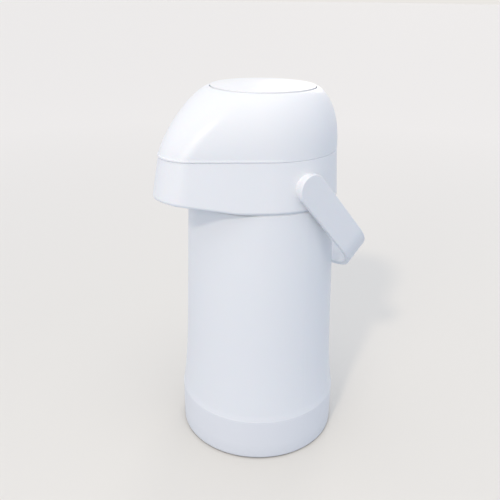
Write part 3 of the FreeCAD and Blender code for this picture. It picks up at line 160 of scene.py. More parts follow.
@dataclass(frozen=True)
class Finish:
    """What a real material and its making give to the eye.

    Attributes:
        name: material and process in plain words.
        process: how the surface was made.
        colour: sRGB hex colour of the bulk of the surface.
        mottle: sRGB hex colour that it drifts to.
        mottle_mm: size of the drifts in colour.
        roughness: middle of the roughness.
        smear: how far smears move the roughness up and down.
        smear_mm: size of the smears.
        grain_mm: size of the fine surface grain.
        grain_depth_mm: depth of the fine surface grain.
        ripple_mm: size of the broad waviness left by cooling.
        ripple_depth_mm: depth of the broad waviness.
        ior: index of refraction.
        metallic: 1 for a metal, less for a silvered surface with some haze.
        subsurface: share of light that goes through the skin.
        subsurface_mm: how far that light spreads.
        coat: clear layer over the surface.
        scuff_and_contact_shade: handling marks near the table and a painted contact shade on the
            lowest edge, if
        the piece has them.
    """

    name: str
    process: Process
    colour: str
    mottle: str
    mottle_mm: float
    roughness: float
    smear: float
    smear_mm: float
    grain_mm: float
    grain_depth_mm: float
    ripple_mm: float
    ripple_depth_mm: float
    ior: float = 1.5
    metallic: float = 0.0
    subsurface: float = 0.0
    subsurface_mm: float = 1.0
    coat: float = 0.0
    scuff_and_contact_shade: Optional[ScuffAndContactShade] = None

    def material(self) -> bpy.types.Material:
        """Give the finish's material, and make it the first time.

        Returns:
            The material.
        """
        made = bpy.data.materials.get(self.name)
        return made if made is not None else self.make()

    def noise(
        self, tree: bpy.types.NodeTree, place: bpy.types.NodeSocket, size_mm: float, detail: float
    ) -> bpy.types.NodeSocket:
        """Add a noise whose cells have a real size.

        Args:
            tree: node tree of the material.
            place: coordinates in metres.
            size_mm: size of a cell.
            detail: number of finer layers.

        Returns:
            The noise's value socket.
        """
        inputs = {"Vector": place, "Scale": 1.0 / (size_mm * MM), "Detail": detail}
        return add_node(tree, "ShaderNodeTexNoise", inputs).outputs["Fac"]

    def base_colour(
        self, tree: bpy.types.NodeTree, raw: bpy.types.NodeSocket, place: bpy.types.NodeSocket
    ) -> bpy.types.NodeSocket:
        """Colour that drifts over the surface, takes the handling marks and gets a painted
        contact shade on the lowest edge.

        Args:
            tree: node tree of the material.
            raw: coordinates in metres.
            place: coordinates stretched along the process.

        Returns:
            The colour socket.
        """
        drift = add_node(tree, "ShaderNodeMix", {
            "Factor": self.noise(tree, place, self.mottle_mm, MOTTLE_DETAIL),
            "A": linear(self.colour),
            "B": linear(self.mottle),
        }, data_type="RGBA")
        socket = drift.outputs["Result"]
        if self.scuff_and_contact_shade is None:
            return socket
        height = add_node(tree, "ShaderNodeSeparateXYZ", {"Vector": raw}).outputs["Z"]
        fade = add_node(tree, "ShaderNodeMapRange", {
            "Value": height,
            "From Min": 0.0,
            "From Max": self.scuff_and_contact_shade.top_mm * MM,
            "To Min": 1.0,
            "To Max": 0.0,
        }).outputs["Result"]
        marks = add_node(tree, "ShaderNodeMath", {
            "Value": fade,
            "Value_001": self.noise(tree, raw, self.smear_mm / MARKS_PER_SMEAR, MARK_DETAIL),
        }, operation="MULTIPLY").outputs["Value"]
        worn = add_node(tree, "ShaderNodeMix", {
            "Factor": marks, "A": socket, "B": linear(self.scuff_and_contact_shade.colour),
        }, data_type="RGBA")
        # Painted contact shade: the lowest edge turns dark grey, standing in for the shadow where
        # the foot meets the table.
        contact_shade_top = self.scuff_and_contact_shade.contact_shade_mm * MM
        contact_shade_mask = add_node(tree, "ShaderNodeMapRange", {
            "Value": height,
            "From Min": contact_shade_top / 2,
            "From Max": contact_shade_top,
            "To Min": 1.0,
            "To Max": 0.0,
        }).outputs["Result"]
        contact_shaded = add_node(tree, "ShaderNodeMix", {
            "Factor": contact_shade_mask, "A": worn.outputs["Result"], "B": linear(self.scuff_and_contact_shade.contact_shade_colour),
        }, data_type="RGBA")
        return contact_shaded.outputs["Result"]

    def make(self) -> bpy.types.Material:
        """Make the finish's material.

        Returns:
            The new material.
        """
        material = bpy.data.materials.new(self.name)
        material.use_nodes = True
        tree = material.node_tree
        tree.nodes.clear()
        raw = add_node(tree, "ShaderNodeTexCoord", {}).outputs["Object"]
        place = add_node(tree, "ShaderNodeMapping", {
            "Vector": raw, "Scale": self.process.value,
        }).outputs["Vector"]
        shine = add_node(tree, "ShaderNodeMapRange", {
            "Value": self.noise(tree, place, self.smear_mm, SMEAR_DETAIL),
            "From Min": NOISE_LOW,
            "From Max": NOISE_HIGH,
            "To Min": self.roughness - self.smear,
            "To Max": self.roughness + self.smear,
        }).outputs["Result"]
        grain = add_node(tree, "ShaderNodeBump", {
            "Height": self.noise(tree, place, self.grain_mm, GRAIN_DETAIL),
            "Distance": self.grain_depth_mm * MM,
        }).outputs["Normal"]
        ripple = add_node(tree, "ShaderNodeBump", {
            "Height": self.noise(tree, raw, self.ripple_mm, RIPPLE_DETAIL),
            "Distance": self.ripple_depth_mm * MM,
            "Normal": grain,
        }).outputs["Normal"]
        shader = add_node(tree, "ShaderNodeBsdfPrincipled", {
            "Base Color": self.base_colour(tree, raw, place),
            "Roughness": shine,
            "Normal": ripple,
            "IOR": self.ior,
            "Metallic": self.metallic,
            "Subsurface Weight": self.subsurface,
            "Subsurface Scale": self.subsurface_mm * MM,
            "Coat Weight": self.coat,
        })
        add_node(tree, "ShaderNodeOutputMaterial", {"Surface": shader.outputs["BSDF"]})
        return material


# White polypropylene from a polished mould: broad soft highlights, a faint orange-peel ripple
# and a cool tint in the shade. The real grain is about 0.3 mm and is drawn coarser, so that it
# shows.
WHITE_SHELL = Finish(
    "injection_moulded_polypropylene_white", Process.MOULDED,
    colour="#eef0f3", mottle="#ebeef1", mottle_mm=60.0,
    roughness=0.34, smear=0.03, smear_mm=28.0,
    grain_mm=0.9, grain_depth_mm=0.0012, ripple_mm=45.0, ripple_depth_mm=0.01,
    subsurface=0.04, subsurface_mm=1.5,
)

# The same plastic on the foot, dulled by sliding on tables, with a painted contact shade: a dark
# grey band on its lowest edge that stands in for the shadow where it meets the table.
WHITE_FOOT = Finish(
    "injection_moulded_polypropylene_foot", Process.MOULDED,
    colour="#edeff2", mottle="#eaecf0", mottle_mm=60.0,
    roughness=0.38, smear=0.05, smear_mm=14.0,
    grain_mm=0.9, grain_depth_mm=0.0015, ripple_mm=45.0, ripple_depth_mm=0.01,
    scuff_and_contact_shade=ScuffAndContactShade(top_mm=14.0, colour="#dde1e6", contact_shade_mm=1.6, contact_shade_colour="#686d73"),
)

# The same plastic where palms polish it: smoother, with broad faint smears in its gloss.
WHITE_BUTTON = Finish(
    "injection_moulded_polypropylene_button", Process.MOULDED,
    colour="#eff1f3", mottle="#eceef1", mottle_mm=50.0,
    roughness=0.31, smear=0.015, smear_mm=70.0,
    grain_mm=0.9, grain_depth_mm=0.001, ripple_mm=40.0, ripple_depth_mm=0.01,
    subsurface=0.04, subsurface_mm=1.5,
)

# Uncoloured polypropylene of the inner parts: milky, with light soaking into thin walls.
NATURAL_PLASTIC = Finish(
    "injection_moulded_polypropylene_natural", Process.MOULDED,
    colour="#e2e2dc", mottle="#d8d9d3", mottle_mm=20.0,
    roughness=0.42, smear=0.06, smear_mm=8.0,
    grain_mm=0.8, grain_depth_mm=0.008, ripple_mm=14.0, ripple_depth_mm=0.04,
    subsurface=0.18, subsurface_mm=2.5,
)

# Extruded polyethylene tube: waxy, with draw lines along it.
TUBE_PLASTIC = Finish(
    "extruded_polyethylene_tube", Process.EXTRUDED,
    colour="#e4e5e1", mottle="#d9dcd8", mottle_mm=10.0,
    roughness=0.38, smear=0.08, smear_mm=5.0,
    grain_mm=0.6, grain_depth_mm=0.01, ripple_mm=12.0, ripple_depth_mm=0.03,
    subsurface=0.22, subsurface_mm=2.0,
)

# Blown glass silvered on its far side: a bright mirror with a slight waviness from blowing.
SILVERED_GLASS = Finish(
    "blown_glass_silvered", Process.BLOWN,
    colour="#dcdcd8", mottle="#cfcfc9", mottle_mm=36.0,
    roughness=0.09, smear=0.03, smear_mm=30.0,
    grain_mm=4.0, grain_depth_mm=0.01, ripple_mm=40.0, ripple_depth_mm=0.12,
    metallic=0.75, coat=1.0,
)

# Moulded silicone rubber: matt grey, with the fine grain of an eroded mould.
GREY_RUBBER = Finish(
    "moulded_silicone_rubber_grey", Process.MOULDED,
    colour="#8e9294", mottle="#828688", mottle_mm=12.0,
    roughness=0.62, smear=0.08, smear_mm=6.0,
    grain_mm=0.5, grain_depth_mm=0.02, ripple_mm=9.0, ripple_depth_mm=0.03,
    ior=1.43, subsurface=0.05,
)

# Drawn stainless steel wire and pressed screws: bright, with fine lines along the draw.
BRIGHT_STEEL = Finish(
    "drawn_stainless_steel", Process.DRAWN,
    colour="#c4c5c7", mottle="#b2b3b6", mottle_mm=4.0,
    roughness=0.24, smear=0.08, smear_mm=1.5,
    grain_mm=0.3, grain_depth_mm=0.004, ripple_mm=5.0, ripple_depth_mm=0.01,
    metallic=1.0,
)


def dress(obj: bpy.types.Object, finish: Finish) -> None:
    """Put a finish on an object in place of what it had.

    Args:
        obj: mesh object.
        finish: what it is made of.
    """
    obj.data.materials.clear()
    obj.data.materials.append(finish.material())


def publish(
    obj: bpy.types.Object, body: str, finish: Finish, stands_for: Sequence[str] = ()
) -> None:
    """Link a new piece, dress it and let it ride on a body.

    Args:
        obj: mesh object in the shared frame.
        body: body that carries it.
        finish: what it is made of.
        stands_for: solids that it is shown in place of.
    """
    bpy.context.scene.collection.objects.link(obj)
    obj.data.shade_smooth()
    obj.data.set_sharp_from_angle(angle=math.radians(CRISP_DEG))
    dress(obj, finish)
    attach(obj, body)
    if stands_for:
        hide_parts(*stands_for)
    LOG.info("piece %s on %s in %s", obj.name, body, finish.name)


def skin(name: str, rings: Sequence[Sequence[Vector]], joined: bool) -> bpy.types.Object:
    """Cover rings of points with quads.

    Args:
        name: name of the piece.
        rings: rings of as many points each, in metres.
        joined: whether the last ring meets the first; if not, both ends are closed.

    Returns:
        The new object, not linked yet.
    """
    shape = bmesh.new()
    rows = [[shape.verts.new(point) for point in ring] for ring in rings]
    pairs = list(zip(rows, rows[1:]))
    if joined:
        pairs.append((rows[-1], rows[0]))
    for low, high in pairs:
        for i in range(len(low)):
            j = (i + 1) % len(low)
            shape.faces.new((low[i], low[j], high[j], high[i]))
    if not joined:
        shape.faces.new(list(reversed(rows[0])))
        shape.faces.new(rows[-1])
    bmesh.ops.recalc_face_normals(shape, faces=shape.faces)
    mesh = bpy.data.meshes.new(name)
    shape.to_mesh(mesh)
    shape.free()
    return bpy.data.objects.new(name, mesh)


@dataclass(frozen=True)
class Corner:
    """Corner of a turned profile, in millimetres.

    Attributes:
        radius: distance from the axis.
        height: height above the table.
        soft: radius of its rounding.
    """

    radius: float
    height: float
    soft: float = 0.0


def soften(corners: Sequence[Corner]) -> list[tuple[float, float]]:
    """Round the corners of a closed profile.

    Args:
        corners: corners in order.

    Returns:
        Radius and height of every point of the softened profile.
    """
    points: list[tuple[float, float]] = []
    count = len(corners)
    for i, corner in enumerate(corners):
        here = Vector((corner.radius, corner.height))
        if corner.soft <= 0.0:
            points.append((here.x, here.y))
            continue
        last, following = corners[i - 1], corners[(i + 1) % count]
        before = Vector((last.radius, last.height)) - here
        after = Vector((following.radius, following.height)) - here
        half = before.angle(after) / 2.0
        room = ROUNDING_ROOM * min(before.length, after.length)
        back = min(corner.soft / math.tan(half), room)
        start = here + before.normalized() * back
        end = here + after.normalized() * back
        for k in range(ROUNDING_STEPS + 1):
            share = k / ROUNDING_STEPS
            curve = start * (1 - share) ** 2 + here * 2 * share * (1 - share) + end * share ** 2
            points.append((curve.x, curve.y))
    return points


def lathe(name: str, profile: Sequence[tuple[float, float]], steps: int) -> bpy.types.Object:
    """Turn a closed profile about the pot's axis.

    Args:
        name: name of the piece.
        profile: radius and height of its points, in millimetres.
        steps: points round the axis.

    Returns:
        The new object, not linked yet.
    """
    rings = []
    for radius, height in profile:
        ring = []
        for i in range(steps):
            angle = FULL_TURN * i / steps
            ring.append(Vector((radius * math.cos(angle), radius * math.sin(angle), height)) * MM)
        rings.append(ring)
    return skin(name, rings, True)


@dataclass(frozen=True)
class Thread:
    """Screw thread as one ridge wound about the pot's axis, in millimetres.

    Attributes:
        name: name of the piece.
        root: radius of the wall that carries it.
        crest: radius of its crest, outside the wall or inside it.
        start_z: height of its first turn's middle.
        turns: number of turns.
        pitch: rise of one turn.
        foot: width of the ridge at the wall.
        land: width of the ridge at its crest.
        sunk: how far the ridge goes into the wall.
        run_out: share of a turn in which it rises out of the wall.
    """

    name: str
    root: float
    crest: float
    start_z: float
    turns: float
    pitch: float = 6.0
    foot: float = 2.6
    land: float = 1.0
    sunk: float = 0.3
    run_out: float = 0.15

    def build(self) -> bpy.types.Object:
        """Wind the ridge.

        Returns:
            The new object, not linked yet.
        """
        steps = int(self.turns * THREAD_STEPS)
        side = math.copysign(1.0, self.crest - self.root)
        rings = []
        for i in range(steps + 1):
            turn = self.turns * i / steps
            ends = min(turn, self.turns - turn) / self.run_out
            height = math.sin(math.pi / 2 * min(ends, 1.0))
            inner = self.root - side * self.sunk
            outer = inner + (self.crest - inner) * height
            angle = FULL_TURN * turn
            middle = self.start_z + self.pitch * turn
            ring = []
            for radius, offset in (
                (inner, -self.foot / 2),
                (outer, -self.land / 2),
                (outer, self.land / 2),
                (inner, self.foot / 2),
            ):
                x, y = math.cos(angle) * radius, math.sin(angle) * radius
                ring.append(Vector((x, y, middle + offset)) * MM)
            rings.append(ring)
        return skin(self.name, rings, False)


@dataclass
class SubAssembly:
    """Pieces that belong together and the finishes of their solids.

    Attributes:
        body: body that carries the pieces it adds.
        finishes: finish of each solid by the name of its node.
    """

    body: str
    finishes: dict[str, Finish]

    def dress_solids(self) -> None:
        """Put its finish on each solid of the sub-assembly."""
        for node, finish in self.finishes.items():
            dress(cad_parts[node], finish)
            LOG.info("solid %s in %s", node, finish.name)

    def build(self) -> None:
        """Build and dress everything in the sub-assembly."""
        self.dress_solids()


@dataclass
class Pot(SubAssembly):
    """Jacket, foot and glass refill, with sizes in millimetres.

    Attributes:
        thread: screw thread on the neck.
        base_radius: radius of the base cup, where the soft step begins.
        seam_low_z: height where the step begins.
        seam_high_z: height where it meets the jacket.
        seam_high_radius: radius of the jacket there.
        seam_slope: slope of the jacket's flare there, as radius over height.
        seam_proud: how far the step lies over the solids.
        seam_sunk: how far its back lies inside them.
        seam_inset: how far its back stops short of its ends.
        land_bore: inner radius of the land on the shoulder.
        land_radius: outer radius of the land.
        land_low_z: height of its underside.
        land_high_z: height of its top.
        land_soft: rounding of its upper edges.
    """

    body: str = "pot"
    finishes: dict[str, Finish] = field(default_factory=lambda: {
        "jacket": WHITE_SHELL,
        "base_cup": WHITE_FOOT,
        "liner_outer_glass": SILVERED_GLASS,
        "liner_inner_glass": SILVERED_GLASS,
        "liner_inner_bottom": SILVERED_GLASS,
        "liner_inner_shoulder": SILVERED_GLASS,
        "liner_inner_neck": SILVERED_GLASS,
        "liner_cushion": GREY_RUBBER,
        "neck_gasket": GREY_RUBBER,
        "neck_ring": NATURAL_PLASTIC,
    })
    thread: Thread = Thread("neck_thread", root=46.4, crest=47.6, start_z=216.5, turns=1.9)
    base_radius: float = 66.9
    seam_low_z: float = 35.0
    seam_high_z: float = 42.5
    seam_high_radius: float = 65.85
    seam_slope: float = -0.119
    seam_proud: float = 0.03
    seam_sunk: float = 0.8
    seam_inset: float = 0.2
    land_bore: float = 53.0
    land_radius: float = 57.3
    land_low_z: float = 211.4
    land_high_z: float = 213.2
    land_soft: float = 0.2

    def build(self) -> None:
        """Dress the solids, wind the neck's thread and add the two turned details."""
        self.dress_solids()
        for obj in (self.thread.build(), self.seam(), self.land()):
            publish(obj, self.body, WHITE_SHELL)

    def seam(self) -> bpy.types.Object:
        """Soft step that leads from the base cup's wall into the flare of the jacket.

        Returns:
            The new object.
        """
        tall = self.seam_high_z - self.seam_low_z
        low = self.base_radius + self.seam_proud
        high = self.seam_high_radius + self.seam_proud
        profile = []
        # A cubic that starts upright on the cup and ends with the jacket's slope.
        for i in range(SEAM_STEPS + 1):
            t = i / SEAM_STEPS
            rise = t * t * (3.0 - 2.0 * t)
            lean = t * t * (t - 1.0) * tall * self.seam_slope
            profile.append((low + (high - low) * rise + lean, self.seam_low_z + tall * t))
        back = high - self.seam_sunk
        profile.append((back, self.seam_high_z - self.seam_inset))
        profile.append((back, self.seam_low_z + self.seam_inset))
        return lathe("base_seam", profile, LATHE_STEPS)

    def land(self) -> bpy.types.Object:
        """Raised land on the shoulder that the collar sits over.

        Returns:
            The new object.
        """
        corners = [
            Corner(self.land_bore, self.land_low_z),
            Corner(self.land_radius, self.land_low_z),
            Corner(self.land_radius, self.land_high_z, self.land_soft),
            Corner(self.land_bore, self.land_high_z, self.land_soft),
        ]
        return lathe("collar_land", soften(corners), LATHE_STEPS)


@dataclass
class Head(SubAssembly):
    """Beaked head with its stopper, tube and outlet, with sizes in millimetres.

    Attributes:
        thread: screw thread in the sleeve.
        line_z: height of the parting line between housing and dome.
        line_radius: radius of the round back of its outline.
        line_reach: distance from the pot's axis to its nose.
        line_nose: radius of its nose.
        bead_low: height of the bead's lower face above the line, at the beak.
        bead_high: height of the bead's top above the line.
        bead_proud: how far the bead stands out, at the beak.
        bead_sunk: how far the bead goes into the dome.
        flush_low: height of the bead's lower face above the line, behind.
        flush_proud: how far the bead stands out, behind.
        fade_start_y: place along Y where the bead begins to fade.
        fade_length: distance along Y in which it fades.
    """

    body: str = "head"
    finishes: dict[str, Finish] = field(default_factory=lambda: {
        "head_housing": WHITE_SHELL,
        "dome_cover": WHITE_SHELL,
        "beak_cover": WHITE_SHELL,
        "spout_nozzle": WHITE_SHELL,
        "stopper": NATURAL_PLASTIC,
        "stopper_seal": GREY_RUBBER,
        "dip_tube": TUBE_PLASTIC,
        "tube_grommet": GREY_RUBBER,
        "check_ball": BRIGHT_STEEL,
        "outlet_pipe": TUBE_PLASTIC,
        "air_valve": GREY_RUBBER,
        "seat_screws": BRIGHT_STEEL,
        "stopper_screws": BRIGHT_STEEL,
    })
    thread: Thread = Thread("sleeve_thread", root=48.0, crest=46.8, start_z=219.5, turns=1.9)
    line_z: float = 251.0
    line_radius: float = 57.6
    line_reach: float = 87.2
    line_nose: float = 23.6
    bead_low: float = 0.3
    bead_high: float = 1.5
    bead_proud: float = 0.45
    bead_sunk: float = 1.2
    flush_low: float = 0.05
    flush_proud: float = 0.03
    fade_start_y: float = -33.0
    fade_length: float = 20.0

    def build(self) -> None:
        """Dress the solids, wind the sleeve's thread and edge the dome."""
        self.dress_solids()
        for obj in (self.thread.build(), self.dome_bead()):
            publish(obj, self.body, WHITE_SHELL)

    def outline(self, offset: float, height: float) -> list[Vector]:
        """Give the head's outline at the parting line: round back, straight sides and round nose.

        Args:
            offset: distance outside the parting line's outline.
            height: height above the parting line.

        Returns:
            Points of the outline, in metres.
        """
        nose_y = self.line_nose - self.line_reach
        turn = math.asin((self.line_radius - self.line_nose) / nose_y)
        points = []
        for centre_y, radius, start, end, steps in (
            (0.0, self.line_radius, turn, math.pi - turn, BACK_STEPS),
            (nose_y, self.line_nose, math.pi - turn, FULL_TURN + turn, NOSE_STEPS),
        ):
            for i in range(steps + 1):
                angle = start + (end - start) * i / steps
                out = Vector((math.cos(angle), math.sin(angle), 0.0)) * (radius + offset)
                points.append((out + Vector((0.0, centre_y, self.line_z + height))) * MM)
        return points

    def bead_profile(self, proud: float, low: float) -> list[tuple[float, float]]:
        """Give the bead's cross-section.

        Args:
            proud: how far it stands out from the dome.
            low: height of its lower face above the parting line.

        Returns:
            Offset from the parting line's outline and height above it, for each corner.
        """
        middle = (low + self.bead_high) / 2
        return [
            (-self.bead_sunk, low),
            (proud, low),
            (proud, middle),
            (proud / 2, self.bead_high),
            (-self.bead_sunk, self.bead_high),
        ]

    def dome_bead(self) -> bpy.types.Object:
        """Fine bead on the dome's lower edge that shades the line at the beak and is flush behind.

        Returns:
            The new object.
        """
        rings = []
        beak = self.bead_profile(self.bead_proud, self.bead_low)
        behind = self.bead_profile(self.flush_proud, self.flush_low)
        for beak_corner, behind_corner in zip(beak, behind):
            ring = []
            for shading, flush in zip(self.outline(*beak_corner), self.outline(*behind_corner)):
                share = (shading.y / MM - self.fade_start_y) / self.fade_length
                ring.append(shading.lerp(flush, min(max(share, 0.0), 1.0)))
            rings.append(ring)
        return skin("dome_bead", rings, True)


@dataclass
class Pump(SubAssembly):
    """Push button, bellows and return spring, with sizes in millimetres.

    Attributes:
        seat_z: height of the seat under bellows and spring.
        top_z: height of their upper end at rest.
        stroke: travel of the button; not used.
        fold_radius: radius of the bellows' outer folds.
        root_radius: radius of the bellows between the folds.
        fold_soft: rounding of the folds outside.
        crease_soft: rounding of the folds inside.
        bead_radius: radius of the bead at the bellows' foot.
        bead: thickness of the bead.
        bead_soft: rounding of the bead.
        mouth_soft: rounding of the bellows' other edges.
        wall: thickness of the bellows' wall.
        folds: number of outer folds.
        spring_radius: radius of the coil.
        wire: radius of its wire.
        turns: number of its active turns.
        end_turn: length of the closed turn at each end.
        coil_ease: how gently the closed turns lead into the active ones, from 0 to 1.
        crown_top_z: height of the button's crown.
        crown_sphere: radius of the sphere that the crown is part of.
        cap_proud: how far the cap lies over the crown.
        cap_eye: radius of the tiny eye in the cap's middle.
        edge_start: radius where the cap's edge begins to lift.
        edge_radius: radius of the cap.
        edge_soft: rounding of the cap's edge.
        edge_lift: how far the edge is lifted.
        edge_foot_z: height of the cap's underside.
        well_bore: inner radius of the well.
        well_wall: thickness of the well's wall.
        well_low_z: height of the well's lower end.
        well_high_z: height of the well's upper end.
        well_soft: rounding of the well's edges.
    """

    body: str = "head"
    finishes: dict[str, Finish] = field(default_factory=lambda: {
        "push_button": WHITE_BUTTON,
        "bellows_cap": NATURAL_PLASTIC,
        "bellows_seat": NATURAL_PLASTIC,
        "bellows_clamp": NATURAL_PLASTIC,
        "intake_valve": GREY_RUBBER,
    })
    seat_z: float = 254.0
    top_z: float = 285.4
    stroke: float = 21.0
    fold_radius: float = 35.6
    root_radius: float = 28.5
    fold_soft: float = 0.7
    crease_soft: float = 0.5
    bead_radius: float = 38.0
    bead: float = 1.4
    bead_soft: float = 0.3
    mouth_soft: float = 0.2
    wall: float = 1.2
    folds: int = 5
    spring_radius: float = 17.0
    wire: float = 0.9
    turns: float = 4.0
    end_turn: float = 0.75
    coil_ease: float = 0.4
    crown_top_z: float = 299.0
    crown_sphere: float = 190.18
    cap_proud: float = 0.03
    cap_eye: float = 0.3
    edge_start: float = 26.0
    edge_radius: float = 39.55
    edge_soft: float = 0.5
    edge_lift: float = 1.1
    edge_foot_z: float = 294.0
    well_bore: float = 42.0
    well_wall: float = 1.2
    well_low_z: float = 262.0
    well_high_z: float = 284.0
    well_soft: float = 0.3

    def build(self) -> None:
        """Build the soft pieces, the button's cap and its well, and dress the solids."""
        self.dress_solids()
        publish(self.button_cap(), "button", WHITE_BUTTON)
        publish(self.well(), self.body, WHITE_SHELL)
        for node, obj, finish, slot in (
            ("bellows", self.bellows(), GREY_RUBBER, "grey_rubber"),
            ("return_spring", self.spring(), BRIGHT_STEEL, "bright_steel"),
        ):
            publish(obj, self.body, finish, (node,))
            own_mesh(obj)

    def button_cap(self) -> bpy.types.Object:
        """Smooth face of the button, with its edge lifted so that a shaded line runs round it.

        Returns:
            The new object.
        """
        flat = self.edge_radius - self.edge_soft
        base = self.crown_top_z - self.crown_sphere + self.cap_proud
        profile = []
        for i in range(CROWN_STEPS + 1):
            radius = self.cap_eye + (flat - self.cap_eye) * i / CROWN_STEPS
            crown = base + math.sqrt(self.crown_sphere ** 2 - radius ** 2)
            share = max(radius - self.edge_start, 0.0) / (flat - self.edge_start)
            profile.append((radius, crown + self.edge_lift * share ** 2))
        middle = profile[-1][1] - self.edge_soft
        for i in range(1, EDGE_STEPS + 1):
            angle = math.pi / 2 * (1 - i / EDGE_STEPS)
            radius = self.edge_radius - self.edge_soft * (1 - math.cos(angle))
            profile.append((radius, middle + self.edge_soft * math.sin(angle)))
        profile.append((self.edge_radius, self.edge_foot_z))
        profile.append((self.cap_eye, self.edge_foot_z))
        return lathe("button_cap", profile, LATHE_STEPS)

    def well(self) -> bpy.types.Object:
        """Sleeve below the button's guide that closes the well round the pressed button.

        Returns:
            The new object.
        """
        outer = self.well_bore + self.well_wall
        corners = [
            Corner(self.well_bore, self.well_low_z, self.well_soft),
            Corner(outer, self.well_low_z, self.well_soft),
            Corner(outer, self.well_high_z, self.well_soft),
            Corner(self.well_bore, self.well_high_z, self.well_soft),
        ]
        return lathe("button_well", soften(corners), LATHE_STEPS)

    def bellows(self) -> bpy.types.Object:
        """Rubber bellows with rounded folds and a bead at the foot.

        Returns:
            The new object.
        """
        low = self.seat_z + self.bead
        step = (self.top_z - self.bead - low) / (2 * self.folds)
        outside = []
        for i in range(2 * self.folds + 1):
            radius = self.root_radius if i % 2 == 0 else self.fold_radius
            outside.append(Corner(radius, low + step * i, self.fold_soft))
        inside = [
            Corner(fold.radius - self.wall, fold.height, self.crease_soft)
            for fold in reversed(outside)
        ]
        inner = self.root_radius - self.wall
        foot = [
            Corner(inner, self.seat_z, self.mouth_soft),
            Corner(self.bead_radius, self.seat_z, self.bead_soft),
            Corner(self.bead_radius, low, self.bead_soft),
        ]
        top = [
            Corner(self.root_radius, self.top_z, self.mouth_soft),
            Corner(inner, self.top_z, self.mouth_soft),
        ]
        return lathe("bellows_folds", soften(foot + outside + top + inside), BELLOWS_STEPS)

    def spring(self) -> bpy.types.Object:
        """Steel coil with a closed turn at each end.

        Returns:
            The new object.
        """
        low = self.seat_z + self.wire
        high = self.top_z - self.wire
        whole = self.turns + 2 * self.end_turn
        steps = int(whole * COIL_STEPS)
        rise = high - low - 4 * self.wire * self.end_turn
        rings = []
        for i in range(steps + 1):
            turn = whole * i / steps
            active = min(max((turn - self.end_turn) / self.turns, 0.0), 1.0)
            eased = active - math.sin(FULL_TURN * active) / FULL_TURN * self.coil_ease
            closed = min(turn, self.end_turn) + max(turn - whole + self.end_turn, 0.0)
            angle = FULL_TURN * turn
            out = Vector((math.cos(angle), math.sin(angle), 0))
            centre = out * self.spring_radius
            centre.z = low + 2 * self.wire * closed + rise * eased
            ring = []
            for k in range(WIRE_STEPS):
                around = FULL_TURN * k / WIRE_STEPS
                side = out * math.cos(around) + Vector((0, 0, math.sin(around)))
                ring.append((centre + side * self.wire) * MM)
            rings.append(ring)
        return skin("return_coil", rings, False)


@dataclass
class Bail(SubAssembly):
    """Carrying handle."""

    body: str = "handle"
    finishes: dict[str, Finish] = field(default_factory=lambda: {"bail_handle": WHITE_SHELL})


@dataclass(frozen=True)
class Lamp:
    """Soft lamp, either far and even as daylight, or near and stronger on the head than the foot.

    Attributes:
        name: what it is for.
        way: direction from the middle of the head to the lamp.
        strength: light on a surface of the head that faces it, in watts per square metre.
        spread_deg: how wide the lamp looks from the head.
        colour: sRGB hex colour.
        reach: distance from the head in metres, if it is near.
        beam_deg: how wide a near lamp's beam is.
        head_z: height of the middle of the head, in metres.
    """

    name: str
    way: tuple[float, float, float]
    strength: float
    spread_deg: float
    colour: str
    reach: Optional[float] = None
    beam_deg: float = 180.0
    head_z: float = 0.25

    def data(self) -> bpy.types.Light:
        """Make the light itself.

        Returns:
            A far light, or a near round one that gives the head as much light.
        """
        spread = math.radians(self.spread_deg)
        if self.reach is None:
            far = bpy.data.lights.new(self.name, "SUN")
            far.energy = self.strength
            far.angle = spread
            return far
        half_beam = math.radians(self.beam_deg) / 2.0
        near = bpy.data.lights.new(self.name, "AREA")
        near.shape = "DISK"
        near.size = 2.0 * self.reach * math.tan(spread / 2.0)
        near.spread = 2.0 * half_beam
        narrowing = 1.0 - half_beam / math.tan(half_beam)
        near.energy = self.strength * math.pi * self.reach ** 2 * narrowing
        return near

    def build(self) -> None:
        """Hang the lamp."""
        data = self.data()
        data.color = linear(self.colour)[:3]
        lamp = bpy.data.objects.new(self.name, data)
        way = Vector(self.way).normalized()
        lamp.location = Vector((0.0, 0.0, self.head_z)) + way * (self.reach or 1.0)
        lamp.rotation_mode = "QUATERNION"
        lamp.rotation_quaternion = way.to_track_quat("Z", "Y")
        bpy.context.scene.collection.objects.link(lamp)


